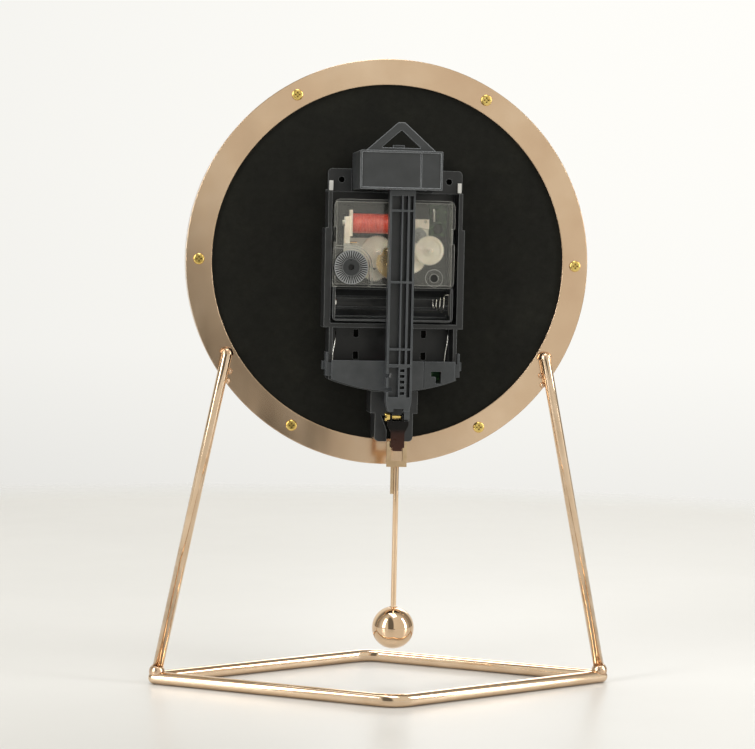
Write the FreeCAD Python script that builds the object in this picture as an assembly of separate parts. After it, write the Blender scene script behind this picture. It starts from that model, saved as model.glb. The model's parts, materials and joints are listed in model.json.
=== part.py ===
import FreeCAD, Part
import math
import os

# Desk clock with a swinging pendulum, in millimetres.
# +Z is up, the dial faces -Y and the movement faces +Y.
# The origin is on the table, under the middle of the base.
# Places on the clock head are given from the middle of its round case,
# which stands centre_height above the table.

V = FreeCAD.Vector

# Stand of bent rod
base_half_width = 106.6
base_apex_depth = 55.5
base_bend = 14.0
base_rod_radius = 3.0
leg_radius = 2.5
leg_foot_inset = 0.4
leg_seat_inset = 7.7
leg_seat_angle = 30.2
centre_height = 199.0
cap_bead_radius = 3.2
foot_bead_radius = 3.7
side_bead_radius = 1.4
side_bead_gap = 3.1
side_bead_pitch = 4.6

# Round case
case_radius = 95.0
case_wall = 1.0
case_slack = 0.3
case_edge = 0.8
flange_width = 12.0
flange_thickness = 1.2
lip_width = 6.0
lip_thickness = 1.2
board_thickness = 3.0
dial_thickness = 1.0
glass_thickness = 2.0
spacer_width = 6.2
spacer_depth = 12.8
flange_screw_count = 6
screw_head_radius = 2.6
screw_head_height = 1.2
screw_shank_radius = 1.4
screw_reach = 6.0
screw_slot_width = 0.7
screw_slot_depth = 0.5
thread_slack = 0.05
screw_hole_slack = 0.2

# Dial and hands
marker_count = 12
marker_length = 11.0
marker_inset = 8.0
marker_width = 2.2
quarter_marker_width = 3.4
marker_height = 0.8
dot_radius = 0.5
dot_height = 0.3
dot_inset = 4.5
hour_hand_length = 44.0
minute_hand_length = 66.0
second_hand_length = 70.0
hour_hand_width = 5.0
minute_hand_width = 3.8
second_hand_width = 1.2
hand_tail = 14.0
hand_thickness = 0.7
second_tail = 22.0
hand_hub_radius = 4.2
second_hub_radius = 2.6
hand_hub_depth = 1.2
hand_cap_depth = 0.6
minutes_per_hour_count = 60
shown_share = 1219 / 1440

# Nested shafts in the middle of the movement
second_arbor_radius = 0.5
minute_pipe_radius = 1.25
hour_pipe_radius = 2.0
bushing_radius = 4.0
running_clearance = 0.08
hour_pipe_proud = 2.6
minute_pipe_proud = 2.4
second_arbor_proud = 2.3
bushing_flange_radius = 5.4
bushing_flange_depth = 0.3
washer_radius = 8.0
washer_depth = 0.6
nut_across_flats = 11.0
nut_depth = 2.6
bushing_proud = 0.6

# Movement housing
module_half = 28.0
module_lift = 0.9
module_corner = 3.0
tray_floor = 1.5
tray_wall = 1.0
tray_depth = 9.7
cover_depth = 9.0
cover_wall = 1.2
bay_wall = 0.8
bay_height = 14.8
bay_side_wall = 1.2
bay_depth = 17.2
bay_corner = 2.0
cell_radius = 7.25
cell_slack = 0.15
bay_groove_count = 4
bay_groove_width = 1.0
bay_groove_depth = 0.6
knob_well_floor = 11.8
knob_well_rise = 8.7
clip_notch_height = 7.0
clip_notch_depth = 1.0
clip_notch_rise = 12.5
screw_boss_x = -18.7
screw_boss_z = -6.8
screw_boss_radius = 4.0
screw_boss_height = 0.5
screw_boss_bore = 1.9
bearing_boss_radius = 1.2
bearing_boss_depth = 1.4
pivot_radius = 0.35
pivot_slack = 0.05
pivot_depth = 1.0
arbor_end_shake = 0.1

# Wheel train
first_level_gap = 0.5
level_pitch = 2.0
wheel_thickness = 0.9
arbor_radius = 0.5
wheel_hub_radius = 1.1
rim_share = 0.62
seconds_teeth = 54
seconds_follower_teeth = 9
seconds_module = 0.275
seconds_angle = 163.2
transfer_teeth = 48
transfer_pinion_teeth = 12
transfer_module = 0.305
transfer_angle = 157.6
first_teeth = 50
rotor_teeth = 10
first_module = 0.27
rotor_angle = 54.5
third_distance = 8.5
third_angle = 35.0
third_teeth = 60
seconds_pinion_teeth = 8
centre_teeth = 64
third_pinion_teeth = 8
motion_distance = 8.0
motion_angle = -20.0
motion_teeth = 42
cannon_teeth = 14
hour_teeth = 40
motion_pinion_teeth = 10
setting_teeth = 44
setting_angle = 1.5
addendum_share = 0.85
dedendum_share = 1.25
backlash_share = 0.16
flank_shares = (0.0, 0.4, 0.7, 1.0)
pressure_angle = 20.0
magnet_disc_radius = 2.6
magnet_disc_depth = 2.4
inertia_disc_radius = 3.4
inertia_disc_depth = 0.5
inertia_disc_drop = 0.4
motion_post_radius = 0.7

# Set knob
knob_radius = 7.8
knob_depth = 3.5
knob_gap = 0.4
knob_ridge_count = 40
knob_ridge_inner = 4.1
knob_ridge_margin = 0.3
knob_groove_width = 0.55
knob_groove_depth = 0.6
knob_bore = 1.4
knob_arbor_radius = 0.7

# Coil, stator and electronics
coil_rise = 17.9
coil_left = 19.4
coil_length = 22.0
coil_radius = 4.6
coil_depth_share = 0.69
bobbin_flange_half = 6.1
bobbin_flange_reach = 4.9
bobbin_flange_thickness = 0.9
bobbin_core_radius = 2.2
bobbin_lug_width = 2.4
bobbin_lug_drop = 9.4
bobbin_lug_depth = 5.0
core_radius = 1.3
core_proud = 2.0
stator_thickness = 0.8
stator_width = 5.0
stator_gap = 0.5
stator_ring_width = 1.6
clamp_width = 7.6
clamp_height = 4.6
clamp_depth = 1.6
clamp_hole = 0.8
terminal_radius = 0.45
terminal_length = 3.4
terminal_count = 3
board_width = 8.4
board_height = 15.0
circuit_thickness = 1.0
circuit_inset = 0.4
crystal_radius = 1.0
crystal_length = 6.0
chip_radius = 2.4
chip_height = 1.0
bridge_thickness = 0.7
bridge_left = 22.5
bridge_right = 2.6
bridge_top = 11.3
bridge_bottom = -0.9
bridge_post_radius = 1.0
bridge_post_inset = 1.5
bridge_hole = 0.9

# Battery contacts
contact_thickness = 0.4
contact_height = 10.0
contact_reach = 10.0
contact_dimple = 2.4
contact_dimple_height = 0.8
spring_wire = 0.35
spring_turns = 3
spring_wide = 4.3
spring_narrow = 1.9
spring_length = 5.0
spring_foot_bend = 0.9

# Pendulum chassis behind the board
frame_shift = -0.9
swing_shift = -2.0
block_shift = -0.6
chassis_floor = 2.0
rail_height = 13.7
rail_half = 31.3
rail_thickness = 1.8
rail_step = 1.2
rail_step_rise = 15.6
crossbar_top = -28.3
crossbar_height = 2.0
ear_half = 31.6
ear_bottom = 32.6
ear_top = 43.4
ear_thickness = 4.0
ear_corner = 2.0
ear_hole_radius = 1.4
ear_hole_half = 25.3
ear_hole_rise = 38.3
tower_half = 17.0
lower_half = 29.9
lower_wall = 1.7
lower_side_end = -54.4
lower_arc_end = -60.0
slot_width = 2.4
slot_height = 3.6
slot_half_span = 16.0
slot_rows = (-33.4, -43.8)
ear_clip_width = 1.8
ear_clip_height = 4.6
ear_clip_depth = 1.2
ear_clip_inset = 0.5

# Pivot housing at the top
block_half = 18.8
block_bottom = 33.3
block_top = 50.8
block_back = 30.4
block_cover = 1.6
block_edge = 0.5
cavity_half = 12.0
cavity_roof = 2.2
cavity_depth = 13.4
rim_width = 0.8
rim_depth = 0.5
seam_shift = 9.0
seam_width = 0.4
tab_half = 2.6
tab_height = 3.0
tab_depth = 3.0
tab_back = 21.0
hanger_half = 16.0
hanger_height = 13.0
hanger_apex_half = 1.4
hanger_bar = 3.6
hanger_foot = 1.4
hanger_thickness = 3.0
hanger_back = 29.5

# Swing arm
pivot_rise = 42.0
pivot_pin_radius = 1.0
pivot_pin_slack = 0.05
pivot_pin_seat = 6.0
pivot_pin_tip = 0.6
pivot_boss_radius = 2.6
arm_half = 5.85
arm_front = 22.0
arm_web = 2.0
arm_depth = 6.0
arm_hub_radius = 4.4
arm_hub_front = 1.0
arm_end = -63.7
arm_rib = 0.9
arm_mid_rib = 0.6
arm_groove = 1.6
arm_cross_ribs = (23.8, -8.8, -39.4, -46.7)
arm_panel_top = 31.0
ladder_top = -48.4
ladder_pitch = 2.6
ladder_bar = 1.2
ladder_count = 5
notch_heights = (-51.5, -58.0)
notch_height = 2.0
notch_depth = 3.0
lip_height = 4.2
lip_taper = 1.0
lip_gap_half = 2.4
lip_gap_height = 1.4
magnet_rise = -52.4
magnet_radius = 4.0
magnet_depth = 1.5
magnet_pocket = 0.9
magnet_slack = 0.05

# Hook on its cross screw
hook_screw_rise = -70.5
hook_screw_radius = 0.9
hook_screw_head = 1.9
hook_screw_head_length = 2.2
hook_screw_slack = 0.06
lug_half = 1.8
lug_right = 2.8
lug_right_thickness = 2.4
hook_screw_head_shift = 3.8
hook_ear_thickness = 0.8
hook_ear_radius = 1.75
hook_ear_gap = 0.25
hook_half = 3.1
hook_shoulder_half = 4.9
hook_shoulder_height = 5.4
hook_thickness = 1.6
hook_drop = 1.9
hook_end = -84.6
hook_lip = 1.5
hook_lip_half = 2.1
hook_lip_reach = 5.3
hook_tip_rise = 2.0
hook_tip_thickness = 1.0
plate_half = 4.7
plate_thickness = 1.0
plate_gap = 0.8
plate_top = 2.8
plate_length = 11.8
window_half = 2.6
window_height = 6.2
tail_width = 1.4
tail_length = 12.5
rod_radius = 1.25
ball_radius = 9.7
ball_height = 31.0
ball_seat = 5.0
ball_neck_radius = 2.0
ball_neck_depth = 0.5

# Drive unit under the apron
coil_ring_radius = 5.4
coil_ring_bore = 2.5
coil_ring_depth = 9.0
drive_board_half = 24.0
drive_board_top = -47.0
drive_board_bottom = -56.0
drive_board_thickness = 1.2
apron_half = 28.8
apron_top = -45.4
apron_side_end = -54.0
apron_arc_end = -59.4
apron_depth = 4.0
apron_skin = 1.4
apron_wall = 1.2
latch_thickness = 1.1
latch_height = 11.0
latch_reach = 8.0
latch_hook = 1.4
latch_hook_height = 4.0
latch_gap = 0.3
apron_cut_rise = -50.0
apron_cut_shift = 17.6
apron_cut_width = 4.6
apron_cut_height = 5.6
apron_cut_leg = 2.4
apron_seam_shift = 14.0

# Guard below the drive unit
guard_top = -59.6
guard_step = -69.9
guard_end = -83.0
guard_wide_half = 11.0
guard_narrow_half = 8.9
guard_face = 12.0
guard_skin = 3.0
guard_wall = 1.2
guard_funnel_half = 6.0
guard_funnel_top = -70.8
guard_funnel_end = -77.8
guard_slot_half = 3.3
guard_prong_round = 2.0

overrun = 1.0

# Levels along Y, from the legs' plane towards the dial
flange_back = -leg_radius
flange_front = flange_back - flange_thickness
board_front = flange_front - board_thickness
dial_front = board_front - dial_thickness
glass_back = dial_front - spacer_depth
glass_front = glass_back - glass_thickness
case_front = glass_front - lip_thickness

# Levels along Y, from the board towards the back
module_front = flange_front + chassis_floor
floor_y = module_front + tray_floor
tray_top = module_front + tray_depth
cover_back = tray_top + cover_depth
cover_inner = cover_back - cover_wall
rail_top = module_front + rail_height
bay_top = module_front + bay_depth
pivot_end = floor_y - pivot_depth
arbor_start = floor_y + arbor_end_shake
arbor_top = cover_inner - bearing_boss_depth - arbor_end_shake

# Radii of the case parts
case_bore = case_radius - case_wall
inner_disc_radius = case_bore - case_slack
flange_bore = case_radius - flange_width
flange_screw_radius = case_radius - flange_width / 2
dial_sight_radius = inner_disc_radius - spacer_width

# Outline of the movement housing
module_top = module_lift + module_half
module_bottom = module_lift - module_half
bay_floor_z = module_bottom + bay_wall
divider_low = bay_floor_z + bay_height
divider_high = divider_low + cover_wall
bay_middle = bay_floor_z + bay_height / 2
cell_y = floor_y + cell_radius + cell_slack

# Bores of the nested pipes
minute_pipe_bore = second_arbor_radius + running_clearance
hour_pipe_bore = minute_pipe_radius + running_clearance
bushing_bore = hour_pipe_radius + running_clearance

# Front ends of the nested shafts
washer_front = dial_front - washer_depth
nut_front = washer_front - nut_depth
bushing_front = nut_front - bushing_proud
hour_pipe_front = bushing_front - hour_pipe_proud
minute_pipe_front = hour_pipe_front - minute_pipe_proud
second_arbor_front = minute_pipe_front - second_arbor_proud


def level(step):
    return floor_y + first_level_gap + step * level_pitch


def polar(start, distance, angle):
    turn = math.radians(angle)
    return (start[0] + distance * math.cos(turn), start[1] + distance * math.sin(turn))


def span(module, teeth_a, teeth_b):
    return module * (teeth_a + teeth_b) / 2


# Places of the arbors, seen along Y from the middle of the case
centre_spot = (0, 0)
transfer_spot = polar(centre_spot, span(seconds_module, seconds_teeth, seconds_follower_teeth), seconds_angle)
first_spot = polar(transfer_spot, span(transfer_module, transfer_teeth, transfer_pinion_teeth), transfer_angle)
rotor_spot = polar(first_spot, span(first_module, first_teeth, rotor_teeth), rotor_angle)
third_spot = polar(centre_spot, third_distance, third_angle)
motion_spot = polar(centre_spot, motion_distance, motion_angle)
third_module = 2 * third_distance / (third_teeth + seconds_pinion_teeth)
centre_module = 2 * third_distance / (centre_teeth + third_pinion_teeth)
motion_module = 2 * motion_distance / (motion_teeth + cannon_teeth)
hour_module = 2 * motion_distance / (hour_teeth + motion_pinion_teeth)
setting_spot = polar(motion_spot, span(motion_module, motion_teeth, setting_teeth), setting_angle)


# Shapes shared by many pieces
def point(x, y, z):
    return V(x, y, centre_height + z)


def slab(x0, x1, y0, y1, z0, z1):
    low_x, high_x = sorted((x0, x1))
    low_y, high_y = sorted((y0, y1))
    low_z, high_z = sorted((z0, z1))
    corner = point(low_x, low_y, low_z)
    return Part.makeBox(high_x - low_x, high_y - low_y, high_z - low_z, corner)


def rounded_slab(x0, x1, y0, y1, z0, z1, radius):
    block = slab(x0, x1, y0, y1, z0, z1)
    corners = [edge for edge in block.Edges if abs(edge.tangentAt(edge.FirstParameter).y) > 1 / 2]
    return block.makeFillet(radius, corners)


def disc(radius, y0, y1, spot=(0, 0)):
    low, high = sorted((y0, y1))
    return Part.makeCylinder(radius, high - low, point(spot[0], low, spot[1]), V(0, 1, 0))


def ring(outer, inner, y0, y1, spot=(0, 0)):
    low, high = sorted((y0, y1))
    return disc(outer, low, high, spot).cut(disc(inner, low - overrun, high + overrun, spot))


def cross_bar(radius, x0, x1, y, z):
    low, high = sorted((x0, x1))
    return Part.makeCylinder(radius, high - low, point(low, y, z), V(1, 0, 0))


def plate(outline, y0, y1):
    low, high = sorted((y0, y1))
    corners = [point(x, low, z) for x, z in outline]
    face = Part.Face(Part.makePolygon(corners + corners[:1]))
    return face.extrude(V(0, high - low, 0))


def arc_plate(middle, half, top, side_end, arc_end, y0, y1):
    # Straight top and sides, with an arc along the bottom.
    left_top = point(middle + half, y0, top)
    right_top = point(middle - half, y0, top)
    left_low = point(middle + half, y0, side_end)
    right_low = point(middle - half, y0, side_end)
    lowest = point(middle, y0, arc_end)
    edges = [
        Part.makeLine(left_top, right_top),
        Part.makeLine(right_top, right_low),
        Part.Arc(right_low, lowest, left_low).toShape(),
        Part.makeLine(left_low, left_top),
    ]
    return Part.Face(Part.Wire(edges)).extrude(V(0, y1 - y0, 0))


def turned(shape, angle, spot=(0, 0)):
    copy = shape.copy()
    copy.rotate(point(spot[0], 0, spot[1]), V(0, -1, 0), angle)
    return copy


def fuse_all(shapes):
    return shapes[0].multiFuse(shapes[1:]).removeSplitter()


def hex_prism(across_flats, y0, y1):
    corner_radius = across_flats / math.sqrt(3)
    outline = [polar((0, 0), corner_radius, side * 60) for side in range(6)]
    return plate(outline, y0, y1)


# Stand
def base_rod(side):
    # One V-bent rod from tip to tip, cut where it meets the other one.
    sweep = math.atan2(base_apex_depth, base_half_width)
    setback = base_bend * math.tan(sweep)
    along = V(math.cos(sweep), side * -math.sin(sweep), 0)
    apex = V(0, side * base_apex_depth, base_rod_radius)
    tip = V(base_half_width, 0, base_rod_radius)
    other_tip = V(-base_half_width, 0, base_rod_radius)
    bend_in = apex + along * setback
    bend_out = V(-bend_in.x, bend_in.y, bend_in.z)
    bow = base_bend / math.cos(sweep) - base_bend
    bend_middle = V(0, side * (base_apex_depth - bow), base_rod_radius)
    path = Part.Wire([
        Part.makeLine(tip, bend_in),
        Part.Arc(bend_in, bend_middle, bend_out).toShape(),
        Part.makeLine(bend_out, other_tip),
    ])
    section = Part.Wire(Part.makeCircle(base_rod_radius, tip, along))
    rod = path.makePipeShell([section], True, False)
    ends = [Part.makeSphere(base_rod_radius, end) for end in (tip, other_tip)]
    whole = rod.multiFuse(ends)
    reach = base_half_width + base_rod_radius + overrun
    depth = base_apex_depth + base_rod_radius + overrun
    front_y = 0 if side > 0 else -depth
    room = Part.makeBox(2 * reach, depth, 2 * base_rod_radius + overrun, V(-reach, front_y, -overrun / 2))
    return whole.common(room)


def leg_ends(side):
    turn = math.radians(leg_seat_angle)
    reach = case_radius - leg_seat_inset
    seat = point(side * reach * math.cos(turn), 0, -reach * math.sin(turn))
    foot = V(side * (base_half_width - leg_foot_inset), 0, base_rod_radius)
    return foot, seat


def leg(side):
    foot, seat = leg_ends(side)
    run = seat - foot
    shaft = Part.makeCylinder(leg_radius, run.Length, foot, run)
    return shaft.cut(base_rod(1)).cut(base_rod(-1))


def weld_beads():
    stand = base_rod(1).fuse(base_rod(-1))
    case_back = disc(case_radius, flange_back, -case_radius)
    beads = []
    for side in (1, -1):
        foot, seat = leg_ends(side)
        along = (seat - foot).normalize()
        inward = V(-side * along.z, 0, side * along.x)
        shaft = leg(side)
        cap = Part.makeSphere(cap_bead_radius, seat, along)
        cap = cap.common(Part.makeCylinder(cap_bead_radius + overrun, cap_bead_radius + overrun, seat, along))
        foot_bead = Part.makeSphere(foot_bead_radius, foot + along * base_rod_radius)
        spots = [seat - along * (cap_bead_radius + side_bead_pitch * step) + inward * side_bead_gap
                 for step in (1, 2)]
        # The poles point backwards, clear of the cuts by the flange and the leg.
        side_beads = [Part.makeSphere(side_bead_radius, spot - V(0, leg_radius, 0), V(0, 1, 0))
                      for spot in spots]
        for bead in [cap, foot_bead] + side_beads:
            above = bead.cut(Part.makeBox(4 * case_radius, 4 * case_radius, 2 * case_radius,
                                          V(-2 * case_radius, -2 * case_radius, -2 * case_radius)))
            beads.append(above.cut(shaft).cut(stand).cut(case_back))
    return Part.makeCompound([solid for bead in beads for solid in bead.Solids])


# Case
def case_drum():
    wall = ring(case_radius, case_bore, case_front, flange_front)
    lip = ring(case_radius, case_radius - lip_width, case_front, glass_front)
    drum = wall.fuse(lip).removeSplitter()
    rim = [edge for edge in drum.Edges
           if abs(edge.BoundBox.YMax - case_front) < case_slack / 2
           and abs(edge.BoundBox.XMax - case_radius) < case_slack / 2]
    return drum.makeFillet(case_edge, rim)


def flange_screw_spots():
    return [polar((0, 0), flange_screw_radius, step * 360 / flange_screw_count)
            for step in range(flange_screw_count)]


def drill_for_screws(body, radius, y0, y1):
    for spot in flange_screw_spots():
        body = body.cut(disc(radius, y0, y1, spot))
    return body


def back_flange():
    flange = ring(case_radius, flange_bore, flange_front, flange_back)
    return drill_for_screws(flange, screw_shank_radius + screw_hole_slack, case_front, case_radius)


def back_board():
    board = disc(inner_disc_radius, board_front, flange_front)
    board = board.cut(disc(bushing_radius + screw_hole_slack, case_front, case_radius))
    return drill_for_screws(board, screw_shank_radius + screw_hole_slack, case_front, case_radius)


def dial():
    face = disc(inner_disc_radius, dial_front, board_front)
    face = face.cut(disc(bushing_radius + screw_hole_slack, case_front, case_radius))
    return drill_for_screws(face, screw_shank_radius + screw_hole_slack, case_front, case_radius)


def spacer_ring():
    body = ring(inner_disc_radius, dial_sight_radius, glass_back, dial_front)
    hole_end = dial_front - screw_reach - overrun
    return drill_for_screws(body, screw_shank_radius + thread_slack, hole_end, dial_front + overrun)


def front_glass():
    return disc(inner_disc_radius, glass_front, glass_back)


def flange_screw(spot):
    shank = disc(screw_shank_radius, dial_front - screw_reach, flange_back, spot)
    top = flange_back + screw_head_height
    head = disc(screw_head_radius, flange_back, top, spot)
    rim = [edge for edge in head.Edges if abs(edge.BoundBox.YMin - top) < thread_slack]
    head = head.makeFillet(screw_head_height * 2 / 3, rim)
    slot_y = top - screw_slot_depth
    reach = screw_head_radius / 2
    half = screw_slot_width / 2
    for wide, tall in ((reach, half), (half, reach)):
        head = head.cut(slab(spot[0] - wide, spot[0] + wide, slot_y, top + overrun,
                             spot[1] - tall, spot[1] + tall))
    return shank.fuse(head)


def flange_screws():
    return Part.makeCompound([flange_screw(spot) for spot in flange_screw_spots()])


# Dial marks and hands
def hour_markers():
    bars = []
    outer = dial_sight_radius - marker_inset
    for hour in range(marker_count):
        width = quarter_marker_width if hour % 3 == 0 else marker_width
        bar = slab(-width / 2, width / 2, dial_front - marker_height, dial_front,
                   outer - marker_length, outer)
        top = [edge for edge in bar.Edges
               if abs(edge.BoundBox.YMax - dial_front + marker_height) < marker_height / 2]
        bars.append(turned(bar.makeChamfer(marker_height / 2, top), hour * 360 / marker_count))
    return Part.makeCompound(bars)


def minute_dots():
    dots = []
    radius = dial_sight_radius - dot_inset
    for minute in range(5 * marker_count):
        spot = polar((0, 0), radius, minute * 360 / (5 * marker_count))
        dots.append(disc(dot_radius, dial_front - dot_height, dial_front, spot))
    return Part.makeCompound(dots)


def hand(length, tail, width, hub_radius, hub_back, hub_depth, bore):
    # A tapered baton that points up, with a hub towards the glass.
    hub = disc(hub_radius, hub_back - hub_depth, hub_back)
    blade_back = hub_back - hub_depth + hand_thickness
    outline = [
        (-width / 2, 0),
        (-width / 3, length - width),
        (0, length),
        (width / 3, length - width),
        (width / 2, 0),
        (width / 3, -tail),
        (-width / 3, -tail),
    ]
    blade = plate(outline, hub_back - hub_depth, blade_back)
    return hub.fuse(blade).cut(disc(bore, case_front, case_radius)).removeSplitter()


def clock_turn(share):
    # A share of one turn, counted the way the hands go, seen from the dial.
    # The shown time is a share of the hour hand's turn.
    return -share * 360


def hour_hand():
    hub_back = hour_pipe_front + hand_hub_depth
    upright = hand(hour_hand_length, hand_tail, hour_hand_width, hand_hub_radius, hub_back, hand_hub_depth,
                   hour_pipe_radius)
    return turned(upright, clock_turn(shown_share))


def minute_hand():
    hub_back = minute_pipe_front + hand_hub_depth
    upright = hand(minute_hand_length, hand_tail, minute_hand_width, hand_hub_radius, hub_back, hand_hub_depth,
                   minute_pipe_radius)
    return turned(upright, clock_turn(shown_share * marker_count % 1))


def second_hand():
    hub_back = second_arbor_front + hand_hub_depth
    blade = hand(second_hand_length, second_tail, second_hand_width, second_hub_radius, hub_back,
                 hand_hub_depth, second_arbor_radius)
    cap = disc(second_hub_radius, second_arbor_front - hand_cap_depth, second_arbor_front)
    weight = disc(second_hub_radius * 2 / 3, second_arbor_front, second_arbor_front + hand_thickness,
                  (0, -second_tail))
    minutes = shown_share * marker_count * minutes_per_hour_count
    return turned(fuse_all([blade, cap, weight]), clock_turn(minutes % 1))


# Wheel train
def half_tooth(radius, pitch_radius, teeth):
    # Half the angle of an involute tooth at one radius.
    slope = math.radians(pressure_angle)
    base = pitch_radius * math.cos(slope)
    lean = math.acos(min(1, base / radius))
    at_pitch = math.pi / (2 * teeth) * (1 - backlash_share)
    return at_pitch + (math.tan(slope) - slope) - (math.tan(lean) - lean)


def tooth_radii(teeth, module):
    pitch_radius = module * teeth / 2
    root = pitch_radius - dedendum_share * module
    tip = pitch_radius + addendum_share * module
    return pitch_radius, [root + share * (tip - root) for share in flank_shares]


def gear(teeth, module, y0, y1, spot, phase):
    pitch_radius, radii = tooth_radii(teeth, module)
    outline = []
    for tooth in range(teeth):
        middle = phase + tooth * 2 * math.pi / teeth
        halves = [half_tooth(radius, pitch_radius, teeth) for radius in radii]
        rising = [(radius, middle - half) for radius, half in zip(radii, halves)]
        falling = [(radius, middle + half) for radius, half in zip(radii[::-1], halves[::-1])]
        for radius, angle in rising + falling:
            outline.append((spot[0] + radius * math.cos(angle), spot[1] + radius * math.sin(angle)))
    return plate(outline, y0, y1)


def mesh_phase(spot_a, teeth_a, phase_a, spot_b, teeth_b):
    # Phase that puts a gap of gear b where gear a has a tooth.
    line = math.atan2(spot_b[1] - spot_a[1], spot_b[0] - spot_a[0])
    return line + math.pi - teeth_a / teeth_b * (phase_a - line) + math.pi / teeth_b


def wheel(teeth, module, step, spot, phase):
    y0 = level(step)
    y1 = y0 + wheel_thickness
    return gear(teeth, module, y0, y1, spot, phase)


def lightened(body, teeth, module, step, spot):
    # A shallow recess between rim and hub, on the side that faces the back.
    outer = module * teeth / 2 * (1 + rim_share) / 2
    y1 = level(step) + wheel_thickness
    return body.cut(ring(outer, wheel_hub_radius * 2, y1 - wheel_thickness / 3, y1 + overrun, spot))


def arbor(spot):
    shaft = disc(arbor_radius, arbor_start, arbor_top, spot)
    pivots = disc(pivot_radius, pivot_end + arbor_end_shake, arbor_top + pivot_depth, spot)
    return shaft.fuse(pivots)


def hub(spot, step):
    y1 = level(step) + wheel_thickness
    return disc(wheel_hub_radius, y1, y1 + wheel_thickness / 3, spot)


def rotor():
    phase = mesh_phase(first_spot, first_teeth, 0, rotor_spot, rotor_teeth)
    pinion = wheel(rotor_teeth, first_module, 6, rotor_spot, phase)
    disc_top = level(6) - inertia_disc_drop
    flywheel = disc(inertia_disc_radius, disc_top - inertia_disc_depth, disc_top, rotor_spot)
    magnet_top = stator_back() + magnet_disc_depth / 3
    magnet = disc(magnet_disc_radius, magnet_top - magnet_disc_depth, magnet_top, rotor_spot)
    return fuse_all([arbor(rotor_spot), pinion, flywheel, magnet])


def first_wheel():
    rim = wheel(first_teeth, first_module, 6, first_spot, 0)
    rim = lightened(rim, first_teeth, first_module, 6, first_spot)
    phase = mesh_phase(transfer_spot, transfer_teeth, 0, first_spot, transfer_pinion_teeth)
    pinion = wheel(transfer_pinion_teeth, transfer_module, 5, first_spot, phase)
    return fuse_all([arbor(first_spot), rim, pinion, hub(first_spot, 6)])


def transfer_wheel():
    rim = wheel(transfer_teeth, transfer_module, 5, transfer_spot, 0)
    rim = lightened(rim, transfer_teeth, transfer_module, 5, transfer_spot)
    phase = mesh_phase(centre_spot, seconds_teeth, 0, transfer_spot, seconds_follower_teeth)
    pinion = wheel(seconds_follower_teeth, seconds_module, 4, transfer_spot, phase)
    return fuse_all([arbor(transfer_spot), rim, pinion, hub(transfer_spot, 5)])


def seconds_wheel():
    rim = wheel(seconds_teeth, seconds_module, 4, centre_spot, 0)
    rim = lightened(rim, seconds_teeth, seconds_module, 4, centre_spot)
    pinion = wheel(seconds_pinion_teeth, third_module, 3, centre_spot, 0)
    shaft = disc(second_arbor_radius, second_arbor_front, arbor_top)
    pivot = disc(pivot_radius, arbor_top, arbor_top + pivot_depth)
    return fuse_all([shaft, pivot, rim, pinion, hub(centre_spot, 4)])


def third_wheel():
    phase = mesh_phase(centre_spot, seconds_pinion_teeth, 0, third_spot, third_teeth)
    rim = wheel(third_teeth, third_module, 3, third_spot, phase)
    rim = lightened(rim, third_teeth, third_module, 3, third_spot)
    pinion = wheel(third_pinion_teeth, centre_module, 2, third_spot, 0)
    return fuse_all([arbor(third_spot), rim, pinion, hub(third_spot, 3)])


def minute_wheel():
    phase = mesh_phase(third_spot, third_pinion_teeth, 0, centre_spot, centre_teeth)
    rim = wheel(centre_teeth, centre_module, 2, centre_spot, phase)
    cannon = wheel(cannon_teeth, motion_module, 1, centre_spot, 0)
    pipe = disc(minute_pipe_radius, minute_pipe_front, level(2) + wheel_thickness)
    bore = disc(minute_pipe_bore, case_front, case_radius)
    return fuse_all([pipe, rim, cannon]).cut(bore)


def motion_phase():
    return mesh_phase(centre_spot, cannon_teeth, 0, motion_spot, motion_teeth)


def motion_wheel():
    rim = wheel(motion_teeth, motion_module, 1, motion_spot, motion_phase())
    pinion = wheel(motion_pinion_teeth, hour_module, 0, motion_spot, 0)
    sleeve = disc(motion_post_radius + 2 * running_clearance, level(0), level(1), motion_spot)
    bore = disc(motion_post_radius + running_clearance, case_front, case_radius, motion_spot)
    return fuse_all([rim, pinion, sleeve]).cut(bore)


def hour_wheel():
    phase = mesh_phase(motion_spot, motion_pinion_teeth, 0, centre_spot, hour_teeth)
    rim = wheel(hour_teeth, hour_module, 0, centre_spot, phase)
    pipe = disc(hour_pipe_radius, hour_pipe_front, level(0) + wheel_thickness)
    bore = disc(hour_pipe_bore, case_front, case_radius)
    return fuse_all([pipe, rim]).cut(bore)


def knob_levels():
    knob_base = knob_well_floor + cover_wall + knob_gap
    return knob_base, knob_base + knob_depth


def set_knob():
    phase = mesh_phase(motion_spot, motion_teeth, motion_phase(), setting_spot, setting_teeth)
    pinion = wheel(setting_teeth, motion_module, 1, setting_spot, phase)
    base, top = knob_levels()
    stem = disc(knob_arbor_radius, arbor_start, base, setting_spot)
    pivot = disc(pivot_radius, pivot_end + arbor_end_shake, arbor_start, setting_spot)
    head = disc(knob_radius, base, top, setting_spot)
    outer = knob_radius - knob_ridge_margin
    groove = slab(setting_spot[0] + knob_ridge_inner, setting_spot[0] + outer,
                  top - knob_groove_depth, top + overrun,
                  setting_spot[1] - knob_groove_width / 2, setting_spot[1] + knob_groove_width / 2)
    grooves = [turned(groove, step * 360 / knob_ridge_count, setting_spot) for step in range(knob_ridge_count)]
    head = head.cut(Part.makeCompound(grooves))
    head = head.cut(disc(knob_bore, top - knob_depth / 2, top + overrun, setting_spot))
    return fuse_all([pinion, stem, pivot, head])


# Movement housing
def bay_side(side):
    return side * (module_half - bay_side_wall)


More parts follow.
